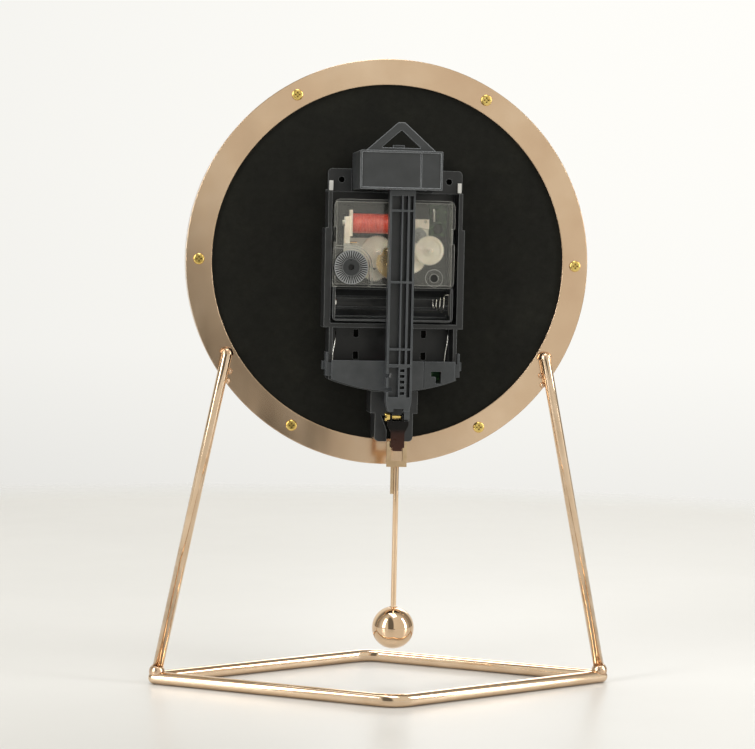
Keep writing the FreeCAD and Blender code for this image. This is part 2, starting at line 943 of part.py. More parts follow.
def movement_case():
    lower = rounded_slab(-module_half, module_half, module_front, tray_top, module_bottom, module_top,
                         module_corner)
    bay = rounded_slab(-module_half, module_half, module_front, bay_top, module_bottom, divider_low + overrun,
                       bay_corner)
    bay = bay.cut(slab(-module_half, module_half, module_front, bay_top + overrun,
                       divider_low, divider_high + overrun))
    body = lower.fuse(bay).removeSplitter()
    inner = module_half - tray_wall
    body = body.cut(slab(-inner, inner, floor_y, tray_top + overrun, divider_high, module_top - tray_wall))
    body = body.cut(battery_bay_space())
    body = body.cut(disc(bushing_radius + thread_slack, case_front, case_radius))
    body = body.fuse(disc(motion_post_radius, floor_y - tray_floor / 2, level(1) + wheel_thickness,
                          motion_spot))
    for spot in (transfer_spot, first_spot, rotor_spot, third_spot, setting_spot):
        body = body.cut(disc(pivot_radius + pivot_slack, pivot_end, floor_y + overrun, spot))
    return body.removeSplitter()


def battery_bay_space():
    # A trough that fits the cell, open to the back, with grooves along its floor.
    radius = cell_radius + cell_slack
    trough = cross_bar(radius, bay_side(-1), bay_side(1), cell_y, bay_middle)
    mouth = slab(bay_side(-1), bay_side(1), cell_y, bay_top + overrun, bay_floor_z, divider_low)
    space = trough.fuse(mouth)
    for step in range(bay_groove_count):
        turn = math.radians(30 + step * 120 / (bay_groove_count - 1))
        groove_y = cell_y - radius * math.sin(turn)
        groove_z = bay_middle + radius * math.cos(turn)
        space = space.fuse(cross_bar(bay_groove_width / 2, bay_side(-1), bay_side(1), groove_y, groove_z))
    return space.common(slab(bay_side(-1), bay_side(1), floor_y - bay_groove_depth, bay_top + overrun,
                             bay_floor_z, divider_low))


def knob_well():
    # Space of the corner recess that holds the set knob.
    left = module_half + overrun
    right = setting_spot[0] - knob_well_rise
    top = setting_spot[1]
    y0 = knob_well_floor + cover_wall
    box = slab(right, left, y0, cover_back + overrun, divider_low - overrun, top)
    round_top = disc(knob_well_rise, y0, cover_back + overrun, setting_spot)
    outer_top = slab(setting_spot[0], left, y0, cover_back + overrun, top, top + knob_well_rise)
    return fuse_all([box, round_top, outer_top])


def knob_well_wall():
    left = module_half
    right = setting_spot[0] - knob_well_rise - cover_wall
    top = setting_spot[1]
    rise = knob_well_rise + cover_wall
    box = slab(right, left, knob_well_floor, cover_back, divider_low, top)
    round_top = disc(rise, knob_well_floor, cover_back, setting_spot)
    outer_top = slab(setting_spot[0], left, knob_well_floor, cover_back, top, top + rise)
    room = slab(-module_half, module_half, knob_well_floor, cover_back, divider_low, module_top)
    return fuse_all([box, round_top, outer_top]).common(room)


def movement_cover():
    shell = rounded_slab(-module_half, module_half, tray_top, cover_back, divider_low, module_top,
                         module_corner)
    inner = module_half - cover_wall
    hollow = slab(-inner, inner, tray_top - overrun, cover_inner, divider_high, module_top - cover_wall)
    shell = shell.cut(hollow).fuse(knob_well_wall()).cut(knob_well())
    shell = shell.cut(disc(knob_arbor_radius + pivot_slack, tray_top, cover_back, setting_spot))
    for spot in (centre_spot, transfer_spot, first_spot, rotor_spot, third_spot):
        boss = disc(bearing_boss_radius, cover_inner - bearing_boss_depth, cover_inner + cover_wall / 2, spot)
        hole = disc(pivot_radius + pivot_slack, cover_inner - bearing_boss_depth - overrun,
                    cover_inner + pivot_slack, spot)
        shell = shell.fuse(boss).cut(hole)
    boss_spot = (screw_boss_x, screw_boss_z)
    shell = shell.fuse(disc(screw_boss_radius, cover_inner, cover_back + screw_boss_height, boss_spot))
    shell = shell.cut(disc(screw_boss_bore, cover_inner - overrun, cover_back + overrun, boss_spot))
    notch_low = clip_notch_rise - clip_notch_height / 2
    for side in (1, -1):
        edge_x = side * module_half
        shell = shell.cut(slab(edge_x - side * clip_notch_depth, edge_x + side * overrun,
                               tray_top, cover_back + overrun, notch_low, notch_low + clip_notch_height))
    return shell.removeSplitter()


def mounting_bushing():
    thread = disc(bushing_radius, bushing_front, floor_y)
    flange = disc(bushing_flange_radius, floor_y, floor_y + bushing_flange_depth)
    return thread.fuse(flange).cut(disc(bushing_bore, case_front, case_radius))


def bushing_washer():
    return ring(washer_radius, bushing_radius + screw_hole_slack, washer_front, dial_front)


def bushing_nut():
    body = hex_prism(nut_across_flats, nut_front, washer_front)
    return body.cut(disc(bushing_radius + thread_slack, case_front, case_radius))


# Coil, stator and electronics
def coil_y():
    return floor_y + (cover_inner - floor_y) * coil_depth_share


def coil_right():
    return coil_left - coil_length


def coil_bobbin():
    y = coil_y()
    core = cross_bar(bobbin_core_radius, coil_right(), coil_left, y, coil_rise)
    flanges = [slab(x, x + step * bobbin_flange_thickness, y - bobbin_flange_reach, y + bobbin_flange_reach,
                    coil_rise - bobbin_flange_half, coil_rise + bobbin_flange_half)
               for x, step in ((coil_left, 1), (coil_right(), -1))]
    lug_start = coil_left + bobbin_flange_thickness
    lug = slab(lug_start, lug_start + bobbin_lug_width, y - bobbin_lug_depth / 2, y + bobbin_lug_depth / 2,
               coil_rise - bobbin_lug_drop, coil_rise + bobbin_flange_half / 2)
    bore = cross_bar(core_radius, coil_right() - coil_length, coil_left + coil_length, y, coil_rise)
    return fuse_all([core, lug] + flanges).cut(bore)


def coil_winding():
    y = coil_y()
    body = cross_bar(coil_radius, coil_right(), coil_left, y, coil_rise)
    return body.cut(cross_bar(bobbin_core_radius, coil_right() - overrun, coil_left + overrun, y, coil_rise))


def stator_back():
    return level(4) + wheel_thickness


def stator():
    # Iron core through the coil, with one limb to the rotor and one back to it.
    y1 = stator_back()
    y0 = y1 - stator_thickness
    core_end = coil_left + bobbin_flange_thickness + bobbin_lug_width + core_proud / 2
    core_start = rotor_spot[0] + magnet_disc_radius
    core = cross_bar(core_radius, core_start, core_end, coil_y(), coil_rise)
    pole_radius = magnet_disc_radius + stator_gap
    reach = pole_radius + stator_ring_width
    limb = slab(rotor_spot[0] - reach, rotor_spot[0] + reach, y0, y1,
                rotor_spot[1], coil_rise + stator_width / 2)
    post = slab(core_start, core_start + 2 * core_radius, y0, coil_y(),
                coil_rise - core_radius / 2, coil_rise + core_radius / 2)
    eye = disc(reach, y0, y1, rotor_spot)
    body = fuse_all([core, limb, post, eye])
    return body.cut(disc(pole_radius, y0 - overrun, y1 + overrun, rotor_spot))


def stator_clamp():
    y0 = stator_back()
    low = coil_rise + stator_width / 2 - clamp_height
    right = rotor_spot[0] - magnet_disc_radius - stator_gap - stator_ring_width
    clamp = slab(right, right + clamp_width, y0, y0 + clamp_depth, low, low + clamp_height)
    room = disc(inertia_disc_radius + stator_gap, y0 - overrun, y0 + clamp_depth + overrun, rotor_spot)
    post = slab(rotor_spot[0] + magnet_disc_radius - running_clearance, right + clamp_width + overrun,
                y0 - overrun, y0 + clamp_depth + overrun, low - overrun, low + clamp_height + overrun)
    hole = disc(clamp_hole, y0 - overrun, y0 + clamp_depth + overrun,
                (right + clamp_width / 4, low + clamp_height * 3 / 4))
    return clamp.cut(room).cut(post).cut(hole)


def coil_terminals():
    y = coil_y()
    x = coil_left + bobbin_flange_thickness
    z = coil_rise - bobbin_lug_drop
    pins = []
    for step in range(terminal_count):
        pins.append(cross_bar(terminal_radius, x - terminal_length, x,
                              y + (step - 1) * bobbin_lug_depth / 3, z + terminal_radius))
    return Part.makeCompound(pins)


def circuit_board():
    left = -module_half + tray_wall + circuit_inset
    top = module_top - tray_wall - circuit_inset
    return slab(left, left + board_width, floor_y, floor_y + circuit_thickness, top - board_height, top)


def circuit_parts_base():
    left = -module_half + tray_wall + circuit_inset
    top = module_top - tray_wall - circuit_inset
    return left, top, floor_y + circuit_thickness


def crystal_can():
    left, top, y = circuit_parts_base()
    x = left + board_width * 3 / 4
    start = point(x, y + crystal_radius, top - 2 * crystal_radius)
    return Part.makeCylinder(crystal_radius, crystal_length, start, V(0, 0, -1))


def chip_blob():
    left, top, y = circuit_parts_base()
    centre = point(left + board_width / 2, y, top - board_height * 3 / 4)
    bulge = Part.makeSphere(chip_radius, V(0, 0, 0))
    squash = FreeCAD.Matrix()
    squash.scale(1, chip_height / chip_radius, 1)
    bulge = bulge.transformGeometry(squash)
    bulge.translate(centre)
    half = slab(left, left + board_width, y, y + chip_height + overrun, top - board_height, top)
    return bulge.common(half)


def bridge_plate():
    # White plate under the third wheel, on two posts.
    y1 = level(3) - (level_pitch - wheel_thickness - bridge_thickness) / 2
    y0 = y1 - bridge_thickness
    body = slab(bridge_left, bridge_right, y0, y1, bridge_bottom, bridge_top)
    for x in (bridge_left - bridge_post_inset, bridge_right + bridge_post_inset):
        spot = (x, bridge_top - bridge_post_inset)
        body = body.fuse(disc(bridge_post_radius, floor_y, y0, spot))
    return body.cut(disc(bridge_hole, y0 - overrun, y1 + overrun, third_spot))


# Battery contacts
def contact_plates():
    plates = []
    for side in (1, -1):
        x = bay_side(side)
        body = slab(x, x - side * contact_thickness, cell_y - contact_reach / 2, cell_y + contact_reach / 2,
                    bay_middle - contact_height / 2, bay_middle + contact_height / 2)
        if side > 0:
            body = body.fuse(cross_bar(contact_dimple, x - side * contact_thickness,
                                       x - side * (contact_thickness + contact_dimple_height),
                                       cell_y, bay_middle))
        plates.append(body)
    return Part.makeCompound(plates)


def biarc(start, start_way, end, end_way):
    # Two arcs that meet smoothly, with equal tangent lengths.
    chord = end - start
    ways = start_way + end_way
    straight = 1 - start_way.dot(end_way)
    root = math.sqrt(chord.dot(ways) ** 2 + 2 * straight * chord.dot(chord))
    reach = (root - chord.dot(ways)) / (2 * straight)
    middle = (start + end + (start_way - end_way) * reach) * (1 / 2)
    return [arc_from(start, start_way, reach, middle), arc_from(end, end_way * -1, reach, middle)[::-1]]


def arc_from(start, way, reach, end):
    corner = start + way * reach
    half_chord = (end - start) * (1 / 2)
    foot = start + half_chord
    lean = math.acos(min(1, half_chord.Length / reach))
    bulge = (corner - foot).normalize() * (half_chord.Length * math.tan(lean / 2))
    return [start, foot + bulge, end]


def spring_point(turn):
    # The helix narrows from the plate to the free end, along +X.
    share = turn / (2 * math.pi * spring_turns)
    radius = spring_wide + (spring_narrow - spring_wide) * share
    x = spring_start_x() + spring_length * share
    return point(x, cell_y + radius * math.sin(turn), bay_middle + radius * math.cos(turn))


def spring_way(turn):
    step = math.pi / 180
    return (spring_point(turn + step) - spring_point(turn - step)).normalize()


def spring_start_x():
    return bay_side(-1) + contact_thickness + 2 * spring_wire + spring_foot_bend


def spring_edges():
    quarter = math.pi / 2
    turns = [quarter * step for step in range(4 * spring_turns + 1)]
    edges = []
    start = spring_point(0)
    way = spring_way(0)
    heel = V(-1, 0, 0)
    corner = start - way * spring_foot_bend
    bend_end = corner + heel * spring_foot_bend
    plate_x = bay_side(-1) + contact_thickness
    edges.append(Part.makeLine(V(plate_x, bend_end.y, bend_end.z), bend_end))
    edges.append(Part.Arc(*arc_from(start, way * -1, spring_foot_bend, bend_end)[::-1]).toShape())
    for first, last in zip(turns, turns[1:]):
        for points in biarc(spring_point(first), spring_way(first), spring_point(last), spring_way(last)):
            edges.append(Part.Arc(*points).toShape())
    tip = spring_point(turns[-1])
    edges.append(Part.makeLine(tip, tip + spring_way(turns[-1]) * (2 * spring_wire)))
    return edges


def print_spring_gap():
    steps = [math.pi / 18 * step for step in range(36 * spring_turns + 1)]
    points = [spring_point(turn) for turn in steps]
    least = min((a - b).Length for i, a in enumerate(points) for j, b in enumerate(points) if j - i >= 18)
    print("least gap of the battery spring to itself", round(least - 2 * spring_wire, 3))


def battery_spring():
    edges = spring_edges()
    path = Part.Wire(edges)
    start = edges[0].Vertexes[0].Point
    section = Part.Wire(Part.makeCircle(spring_wire, start, V(1, 0, 0)))
    print_spring_gap()
    return path.makePipeShell([section], True, False)


# Pendulum chassis
def lower_box(inset, y0, y1, top):
    return arc_plate(frame_shift, lower_half - inset, top, lower_side_end + inset / 2,
                     lower_arc_end + inset, y0, y1)


def chassis_frame():
    floor = slab(frame_shift - rail_half, frame_shift + rail_half, flange_front, module_front,
                 crossbar_top, ear_bottom + overrun)
    tower = slab(block_shift - tower_half, block_shift + tower_half, flange_front, module_front,
                 ear_bottom, block_top)
    ears = rounded_slab(swing_shift - ear_half, swing_shift + ear_half,
                        flange_front, flange_front + ear_thickness, ear_bottom, ear_top, ear_corner)
    block_room = slab(block_shift - block_half - case_slack, block_shift + block_half + case_slack,
                      module_front, rail_top, block_bottom - case_slack, block_top + overrun)
    ears = ears.cut(block_room)
    pieces = [floor, tower, ears]
    crossbar_low = crossbar_top - crossbar_height
    for side in (1, -1):
        outer = frame_shift + side * rail_half
        wide = frame_shift + side * (rail_half + rail_step)
        inner = frame_shift + side * (rail_half - rail_thickness)
        pieces.append(slab(inner, outer, flange_front, rail_top, rail_step_rise, ear_bottom))
        pieces.append(slab(inner, wide, flange_front, rail_top, crossbar_low, rail_step_rise))
    pieces.append(slab(frame_shift - rail_half, frame_shift + rail_half, flange_front, rail_top,
                       crossbar_low, crossbar_top))
    walls = lower_box(0, flange_front, rail_top, crossbar_low + crossbar_height / 2)
    pocket = lower_box(lower_wall, module_front, rail_top + overrun, crossbar_low)
    pieces.append(walls.cut(pocket))
    body = fuse_all(pieces).cut(movement_room())
    for x in (swing_shift - ear_hole_half, swing_shift + ear_hole_half):
        body = body.cut(disc(ear_hole_radius, flange_front - overrun, rail_top, (x, ear_hole_rise)))
    for x in (swing_shift / 2 - slot_half_span, swing_shift / 2 + slot_half_span):
        for z in slot_rows:
            body = body.cut(slab(x - slot_width / 2, x + slot_width / 2,
                                 flange_front - overrun, module_front + overrun,
                                 z - slot_height / 2, z + slot_height / 2))
    return body.cut(disc(bushing_radius + screw_hole_slack, case_front, module_front + overrun))


def movement_room():
    # Space that the movement housing takes between the rails.
    return slab(-module_half - case_slack, module_half + case_slack, module_front, rail_top + overrun,
                module_bottom - case_slack, module_top + case_slack)


def ear_clips():
    clips = []
    y0 = flange_front + ear_thickness
    for side in (1, -1):
        outer = swing_shift + side * (ear_half - ear_clip_inset)
        clips.append(slab(outer - side * ear_clip_width, outer, y0, y0 + ear_clip_depth,
                          ear_bottom + ear_clip_inset, ear_bottom + ear_clip_inset + ear_clip_height))
    return Part.makeCompound(clips)


# Pivot housing
def pivot_housing():
    body = slab(block_shift - block_half, block_shift + block_half, module_front, block_back,
                block_bottom, block_top)
    upright = [edge for edge in body.Edges if abs(edge.tangentAt(edge.FirstParameter).y) > 1 / 2]
    body = body.makeFillet(block_edge, upright)
    cavity = slab(swing_shift - cavity_half, swing_shift + cavity_half, block_back - cavity_depth,
                  block_back + overrun, block_bottom - overrun, block_top - cavity_roof)
    hollow = slab(block_shift - block_half + cavity_roof, block_shift + block_half - cavity_roof,
                  module_front - overrun, block_back - cavity_depth - pivot_pin_seat - cavity_roof / 2,
                  block_bottom + cavity_roof, block_top - cavity_roof)
    body = body.cut(cavity).cut(hollow)
    pin_hole = disc(pivot_pin_radius, pivot_pin_start(), block_back, (swing_shift, pivot_rise))
    tab = slab(block_shift - tab_half, block_shift + tab_half, tab_back - tab_depth, tab_back,
               block_top, block_top + tab_height)
    return body.cut(pin_hole).fuse(tab).removeSplitter()


def pivot_pin_start():
    return block_back - cavity_depth - pivot_pin_seat


def pivot_pin():
    return disc(pivot_pin_radius, pivot_pin_start(), block_back + pivot_pin_tip, (swing_shift, pivot_rise))


def housing_cover():
    y1 = block_back + block_cover
    left = block_shift + block_half
    right = block_shift - block_half
    body = slab(right, left, block_back, y1, block_bottom, block_top)
    upright = [edge for edge in body.Edges if abs(edge.tangentAt(edge.FirstParameter).y) > 1 / 2]
    body = body.makeFillet(block_edge, upright)
    body = body.cut(slab(right + rim_width, left - rim_width, y1 - rim_depth, y1 + overrun,
                         block_bottom + rim_width, block_top - rim_width))
    seam = block_shift - seam_shift
    body = body.cut(slab(seam - seam_width / 2, seam + seam_width / 2, y1 - 2 * rim_depth, y1,
                         block_bottom + rim_width, block_top - rim_width))
    boss = disc(pivot_boss_radius, arm_back() + arm_hub_front, block_back, (swing_shift, pivot_rise))
    hole = disc(pivot_pin_radius, arm_back(), block_back + pivot_pin_tip, (swing_shift, pivot_rise))
    return body.fuse(boss).cut(hole)


def hanger_loop():
    y0 = hanger_back - hanger_thickness
    foot = block_top
    outer = [
        (block_shift + hanger_half, foot),
        (block_shift + hanger_apex_half, foot + hanger_height),
        (block_shift - hanger_apex_half, foot + hanger_height),
        (block_shift - hanger_half, foot),
    ]
    slope = hanger_height / (hanger_half - hanger_apex_half)
    inner_height = hanger_height - hanger_bar
    inner_half = (inner_height - hanger_foot) / slope
    inner = [
        (block_shift + inner_half, foot + hanger_foot),
        (block_shift, foot + inner_height),
        (block_shift - inner_half, foot + hanger_foot),
    ]
    return plate(outer, y0, hanger_back).cut(plate(inner, y0 - overrun, hanger_back + overrun))


# Swing arm
def arm_back():
    return arm_front + arm_depth


def arm_panels():
    # Recesses between the lengthwise ribs, cut from the back.
    web_y = arm_front + arm_web
    left = swing_shift + arm_half
    right = swing_shift - arm_half
    middle = swing_shift
    lanes = [
        (left - arm_rib, middle + arm_mid_rib / 2),
        (middle - arm_mid_rib / 2, right + arm_rib + arm_groove + arm_rib),
        (right + arm_rib + arm_groove, right + arm_rib),
    ]
    stops = [arm_panel_top] + list(arm_cross_ribs)
    boxes = []
    for lane_left, lane_right in lanes:
        for high, low in zip(stops, stops[1:]):
            boxes.append(slab(lane_left, lane_right, web_y, arm_back() + overrun,
                              low + arm_rib / 2, high - arm_rib / 2))
    return boxes, lanes


def swing_arm():
    left = swing_shift + arm_half
    right = swing_shift - arm_half
    bar = slab(right, left, arm_front, arm_back(), arm_end, pivot_rise)
    hub_disc = disc(arm_hub_radius, arm_front - arm_hub_front, arm_back() + arm_hub_front / 2,
                    (swing_shift, pivot_rise))
    shoulder = disc(arm_half, arm_front, arm_back(), (swing_shift, pivot_rise))
    lip = plate([(right, arm_end), (left, arm_end), (left - lip_taper, arm_end - lip_height),
                 (right + lip_taper, arm_end - lip_height)], arm_front, arm_back())
    body = fuse_all([bar, hub_disc, shoulder, lip] + screw_lug())
    boxes, lanes = arm_panels()
    body = body.cut(Part.makeCompound(boxes))
    web_y = arm_front + arm_web
    for step in range(ladder_count):
        high = ladder_top - step * ladder_pitch
        body = body.cut(slab(lanes[1][0], lanes[1][1], web_y, arm_back() + overrun,
                             high - ladder_pitch + ladder_bar, high))
    ladder_end = ladder_top - ladder_count * ladder_pitch
    for lane in (lanes[0], lanes[2]):
        body = body.cut(slab(lane[0], lane[1], web_y, arm_back() + overrun,
                             ladder_end, arm_cross_ribs[-1] - arm_rib))
    for z in notch_heights:
        body = body.cut(slab(left + overrun, left - notch_depth, arm_front - overrun, arm_back() + overrun,
                             z - notch_height / 2, z + notch_height / 2))
    gap_low = arm_end - lip_height
    body = body.cut(slab(swing_shift - lip_gap_half, swing_shift + lip_gap_half, arm_front - overrun,
                         arm_back() + overrun, gap_low - overrun, gap_low + lip_gap_height))
    body = body.cut(disc(magnet_radius + magnet_slack, arm_front - overrun, arm_front + magnet_pocket,
                         (swing_shift, magnet_rise)))
    body = body.cut(disc(pivot_pin_radius + pivot_pin_slack, 0, case_radius, (swing_shift, pivot_rise)))
    return body.cut(cross_bar(hook_screw_radius, hook_screw_end(), swing_shift + arm_half + overrun,
                              hook_screw_y(), hook_screw_rise)).removeSplitter()


def hook_screw_y():
    return arm_back() - lug_half - arm_hub_front / 2


def hook_screw_end():
    return swing_shift - lug_right - lug_right_thickness * 3 / 4


def screw_lug():
    # A lug below the lip that the cross screw is driven into.
    y0 = hook_screw_y() - lug_half
    y1 = hook_screw_y() + lug_half
    high = arm_end - lip_height / 2
    x0 = swing_shift - lug_right - lug_right_thickness
    x1 = swing_shift - lug_right
    return [slab(x0, x1, y0, y1, hook_screw_rise, high),
            cross_bar(lug_half, x0, x1, hook_screw_y(), hook_screw_rise)]


def arm_magnet():
    y1 = arm_front + magnet_pocket
    return disc(magnet_radius, y1 - magnet_depth, y1, (swing_shift, magnet_rise))


def hook_screw():
    head_x = swing_shift + hook_screw_head_shift
    shank = cross_bar(hook_screw_radius, hook_screw_end(), head_x, hook_screw_y(), hook_screw_rise)
    head = cross_bar(hook_screw_head, head_x, head_x + hook_screw_head_length, hook_screw_y(), hook_screw_rise)
    slot = slab(head_x + hook_screw_head_length * 2 / 3, head_x + hook_screw_head_length + overrun,
                hook_screw_y() - hook_screw_head, hook_screw_y() + hook_screw_head,
                hook_screw_rise - screw_slot_width / 2, hook_screw_rise + screw_slot_width / 2)
    return shank.fuse(head).cut(slot)


# Hook and pendulum
def hook_back():
    return hook_screw_y() + hook_ear_radius


def hook_block():
    y1 = hook_back()
    y0 = y1 - hook_thickness
    tongue_top = hook_screw_rise - hook_drop
    left_ear = swing_shift + hook_screw_head_shift - hook_ear_gap
    right_ear = swing_shift - lug_right + hook_ear_gap
    shoulder_end = tongue_top - hook_shoulder_height
    shoulder = [(swing_shift - hook_shoulder_half, tongue_top), (swing_shift + hook_shoulder_half, tongue_top),
                (swing_shift + hook_shoulder_half, tongue_top - hook_shoulder_height / 3),
                (swing_shift + hook_half, shoulder_end), (swing_shift - hook_half, shoulder_end),
                (swing_shift - hook_shoulder_half, tongue_top - hook_shoulder_height / 3)]
    pieces = [slab(swing_shift - hook_half, swing_shift + hook_half, y0, y1, hook_end, tongue_top),
              plate(shoulder, y0, y1)]
    for x, step in ((left_ear, -1), (right_ear, 1)):
        eye = cross_bar(hook_ear_radius, x, x + step * hook_ear_thickness, hook_screw_y(), hook_screw_rise)
        web = slab(x, x + step * hook_ear_thickness, hook_screw_y() - hook_ear_radius / 2, y1,
                   tongue_top - hook_drop / 2, hook_screw_rise)
        pieces += [eye, web]
    lip_y = y1 - hook_lip_reach
    pieces.append(slab(swing_shift - hook_lip_half, swing_shift + hook_lip_half, lip_y, y1,
                       hook_end - hook_lip, hook_end))
    pieces.append(slab(swing_shift - hook_lip_half, swing_shift + hook_lip_half,
                       lip_y, lip_y + hook_tip_thickness, hook_end, hook_end + hook_tip_rise))
    body = fuse_all(pieces)
    bore = cross_bar(hook_screw_radius + hook_screw_slack, swing_shift - arm_half, swing_shift + arm_half,
                     hook_screw_y(), hook_screw_rise)
    return body.cut(bore)


def plate_levels():
    y1 = hook_back() - hook_thickness - plate_gap
    return y1 - plate_thickness, y1


def plate_low():
    return hook_end + plate_top - plate_length


def hook_plate():
    y0, y1 = plate_levels()
    body = slab(swing_shift - plate_half, swing_shift + plate_half, y0, y1, plate_low(), hook_end + plate_top)
    window = slab(swing_shift - window_half, swing_shift + window_half, y0 - overrun, y1 + overrun,
                  hook_end - window_height, hook_end)
    tail = slab(swing_shift + rod_radius, swing_shift + rod_radius + tail_width, y0, y1,
                plate_low() - tail_length, plate_low())
    return body.cut(window).fuse(tail).removeSplitter()


def rod_y():
    y0, y1 = plate_levels()
    return (y0 + y1) / 2


def ball_centre():
    return V(swing_shift, rod_y(), ball_height)


def rod_foot():
    return ball_centre() + V(0, 0, ball_radius - ball_seat)


def pendulum_rod():
    foot = rod_foot()
    top = centre_height + plate_low()
    return Part.makeCylinder(rod_radius, top - foot.z, foot)


def pendulum_ball():
    crown = ball_centre() + V(0, 0, ball_radius - ball_neck_depth)
    body = Part.makeSphere(ball_radius, ball_centre())
    body = body.cut(Part.makeCylinder(ball_neck_radius, ball_neck_depth + overrun, crown))
    return body.cut(Part.makeCylinder(rod_radius, ball_radius, rod_foot()))


# Drive unit
def apron_outline(inset, y0, y1):
    return arc_plate(frame_shift, apron_half - inset, apron_top - inset / 2, apron_side_end + inset / 2,
                     apron_arc_end + inset, y0, y1)


def apron_latch(side):
    # A side arm that snaps over the chassis wall.
    inner = frame_shift + side * (lower_half + latch_gap)
    outer = inner + side * latch_thickness
    y1 = rail_top + apron_skin
    y0 = y1 - latch_reach
    high = apron_top + latch_height / 3
    low = high - latch_height
    arm = slab(inner, outer, y0, y1, low, high)
    bridge = slab(frame_shift + side * (apron_half - apron_wall), outer, rail_top, y1,
                  low, apron_top - apron_wall)
    hook = slab(outer, outer + side * latch_hook, y0, y0 + latch_hook_height, low + latch_height / 4,
                low + latch_height / 4 + latch_hook_height)
    return arm.fuse(bridge).fuse(hook)


def apron_cover():
    top = rail_top + apron_depth
    body = apron_outline(0, rail_top, top).cut(apron_outline(apron_wall, rail_top - overrun, top - apron_skin))
    body = fuse_all([body, apron_latch(1), apron_latch(-1)])
    x = frame_shift - apron_cut_shift
    cut_low = apron_cut_rise - apron_cut_height
    across = slab(x, x - apron_cut_width, top - apron_skin - overrun, top + overrun,
                  apron_cut_rise - apron_cut_leg, apron_cut_rise)
    down = slab(x - apron_cut_width + apron_cut_leg, x - apron_cut_width,
                top - apron_skin - overrun, top + overrun, cut_low, apron_cut_rise)
    seam = slab(frame_shift - apron_seam_shift, frame_shift - apron_seam_shift - seam_width, top - rim_depth,
                top + overrun, apron_arc_end, apron_top)
    return body.cut(across).cut(down).cut(seam)


def drive_board():
    board = slab(frame_shift - drive_board_half, frame_shift + drive_board_half, module_front,
                 module_front + drive_board_thickness, drive_board_bottom, drive_board_top)
    return board.common(lower_box(lower_wall + case_slack, module_front - overrun, rail_top, drive_board_top))


def drive_coil():
    y0 = module_front + drive_board_thickness
    return ring(coil_ring_radius, coil_ring_bore, y0, y0 + coil_ring_depth, (swing_shift, magnet_rise))


def guard_plate():
    wide = slab(swing_shift - guard_wide_half, swing_shift + guard_wide_half, flange_front, guard_face,
                guard_step, guard_top)
    narrow = slab(swing_shift - guard_narrow_half, swing_shift + guard_narrow_half, flange_front, guard_face,
                  guard_end, guard_step)
    low_edges = [edge for edge in narrow.Edges if abs(edge.tangentAt(edge.FirstParameter).y) > 1 / 2
                 and edge.BoundBox.ZMax < centre_height + (guard_end + guard_step) / 2]
    narrow = narrow.makeFillet(guard_prong_round, low_edges)
    face_back = guard_face - guard_skin
    wide_room = guard_wide_half - guard_wall
    narrow_room = guard_narrow_half - guard_wall
    hollow_wide = slab(swing_shift - wide_room, swing_shift + wide_room,
                       flange_front - overrun, face_back, guard_step + guard_wall, guard_top - guard_wall)
    hollow_narrow = slab(swing_shift - narrow_room, swing_shift + narrow_room,
                         flange_front - overrun, face_back, guard_end - overrun, guard_step + 2 * guard_wall)
    funnel = plate([
        (swing_shift - guard_funnel_half, guard_funnel_top),
        (swing_shift + guard_funnel_half, guard_funnel_top),
        (swing_shift + guard_slot_half, guard_funnel_end),
        (swing_shift + guard_slot_half, guard_end - overrun),
        (swing_shift - guard_slot_half, guard_end - overrun),
        (swing_shift - guard_slot_half, guard_funnel_end),
    ], face_back - overrun, guard_face + overrun)
    body = fuse_all([wide, narrow]).cut(hollow_wide).cut(hollow_narrow).cut(funnel)
    flange_room = ring(case_radius, flange_bore - case_slack, flange_front - overrun, flange_back + case_slack)
    return body.cut(flange_room).cut(lower_box(0, flange_front - overrun, rail_top, crossbar_top))


pieces = {
    "base_rod_rear": lambda: base_rod(1),
    "base_rod_front": lambda: base_rod(-1),
    "leg_left": lambda: leg(1),
    "leg_right": lambda: leg(-1),
    "weld_beads": weld_beads,
    "case_drum": case_drum,
    "back_flange": back_flange,
    "flange_screws": flange_screws,
    "back_board": back_board,
    "dial": dial,
    "spacer_ring": spacer_ring,
    "front_glass": front_glass,
    "hour_markers": hour_markers,
    "minute_dots": minute_dots,
    "hour_hand": hour_hand,
    "minute_hand": minute_hand,
    "second_hand": second_hand,
    "rotor": rotor,
    "first_wheel": first_wheel,
    "transfer_wheel": transfer_wheel,
    "seconds_wheel": seconds_wheel,
    "third_wheel": third_wheel,
    "minute_wheel": minute_wheel,
    "motion_wheel": motion_wheel,
    "hour_wheel": hour_wheel,
    "set_knob": set_knob,
    "movement_case": movement_case,
    "movement_cover": movement_cover,
    "mounting_bushing": mounting_bushing,
    "bushing_washer": bushing_washer,
    "bushing_nut": bushing_nut,
    "coil_bobbin": coil_bobbin,
    "coil_winding": coil_winding,
    "stator": stator,
    "stator_clamp": stator_clamp,
    "coil_terminals": coil_terminals,
    "circuit_board": circuit_board,
    "crystal_can": crystal_can,
    "chip_blob": chip_blob,
    "bridge_plate": bridge_plate,
    "contact_plates": contact_plates,
    "battery_spring": battery_spring,
    "chassis_frame": chassis_frame,
    "ear_clips": ear_clips,
    "pivot_housing": pivot_housing,
    "pivot_pin": pivot_pin,
    "housing_cover": housing_cover,
    "hanger_loop": hanger_loop,
    "swing_arm": swing_arm,
    "arm_magnet": arm_magnet,
    "hook_screw": hook_screw,
    "hook_block": hook_block,
    "hook_plate": hook_plate,
    "pendulum_rod": pendulum_rod,
    "pendulum_ball": pendulum_ball,
    "apron_cover": apron_cover,
    "drive_board": drive_board,
    "drive_coil": drive_coil,
    "guard_plate": guard_plate,
}

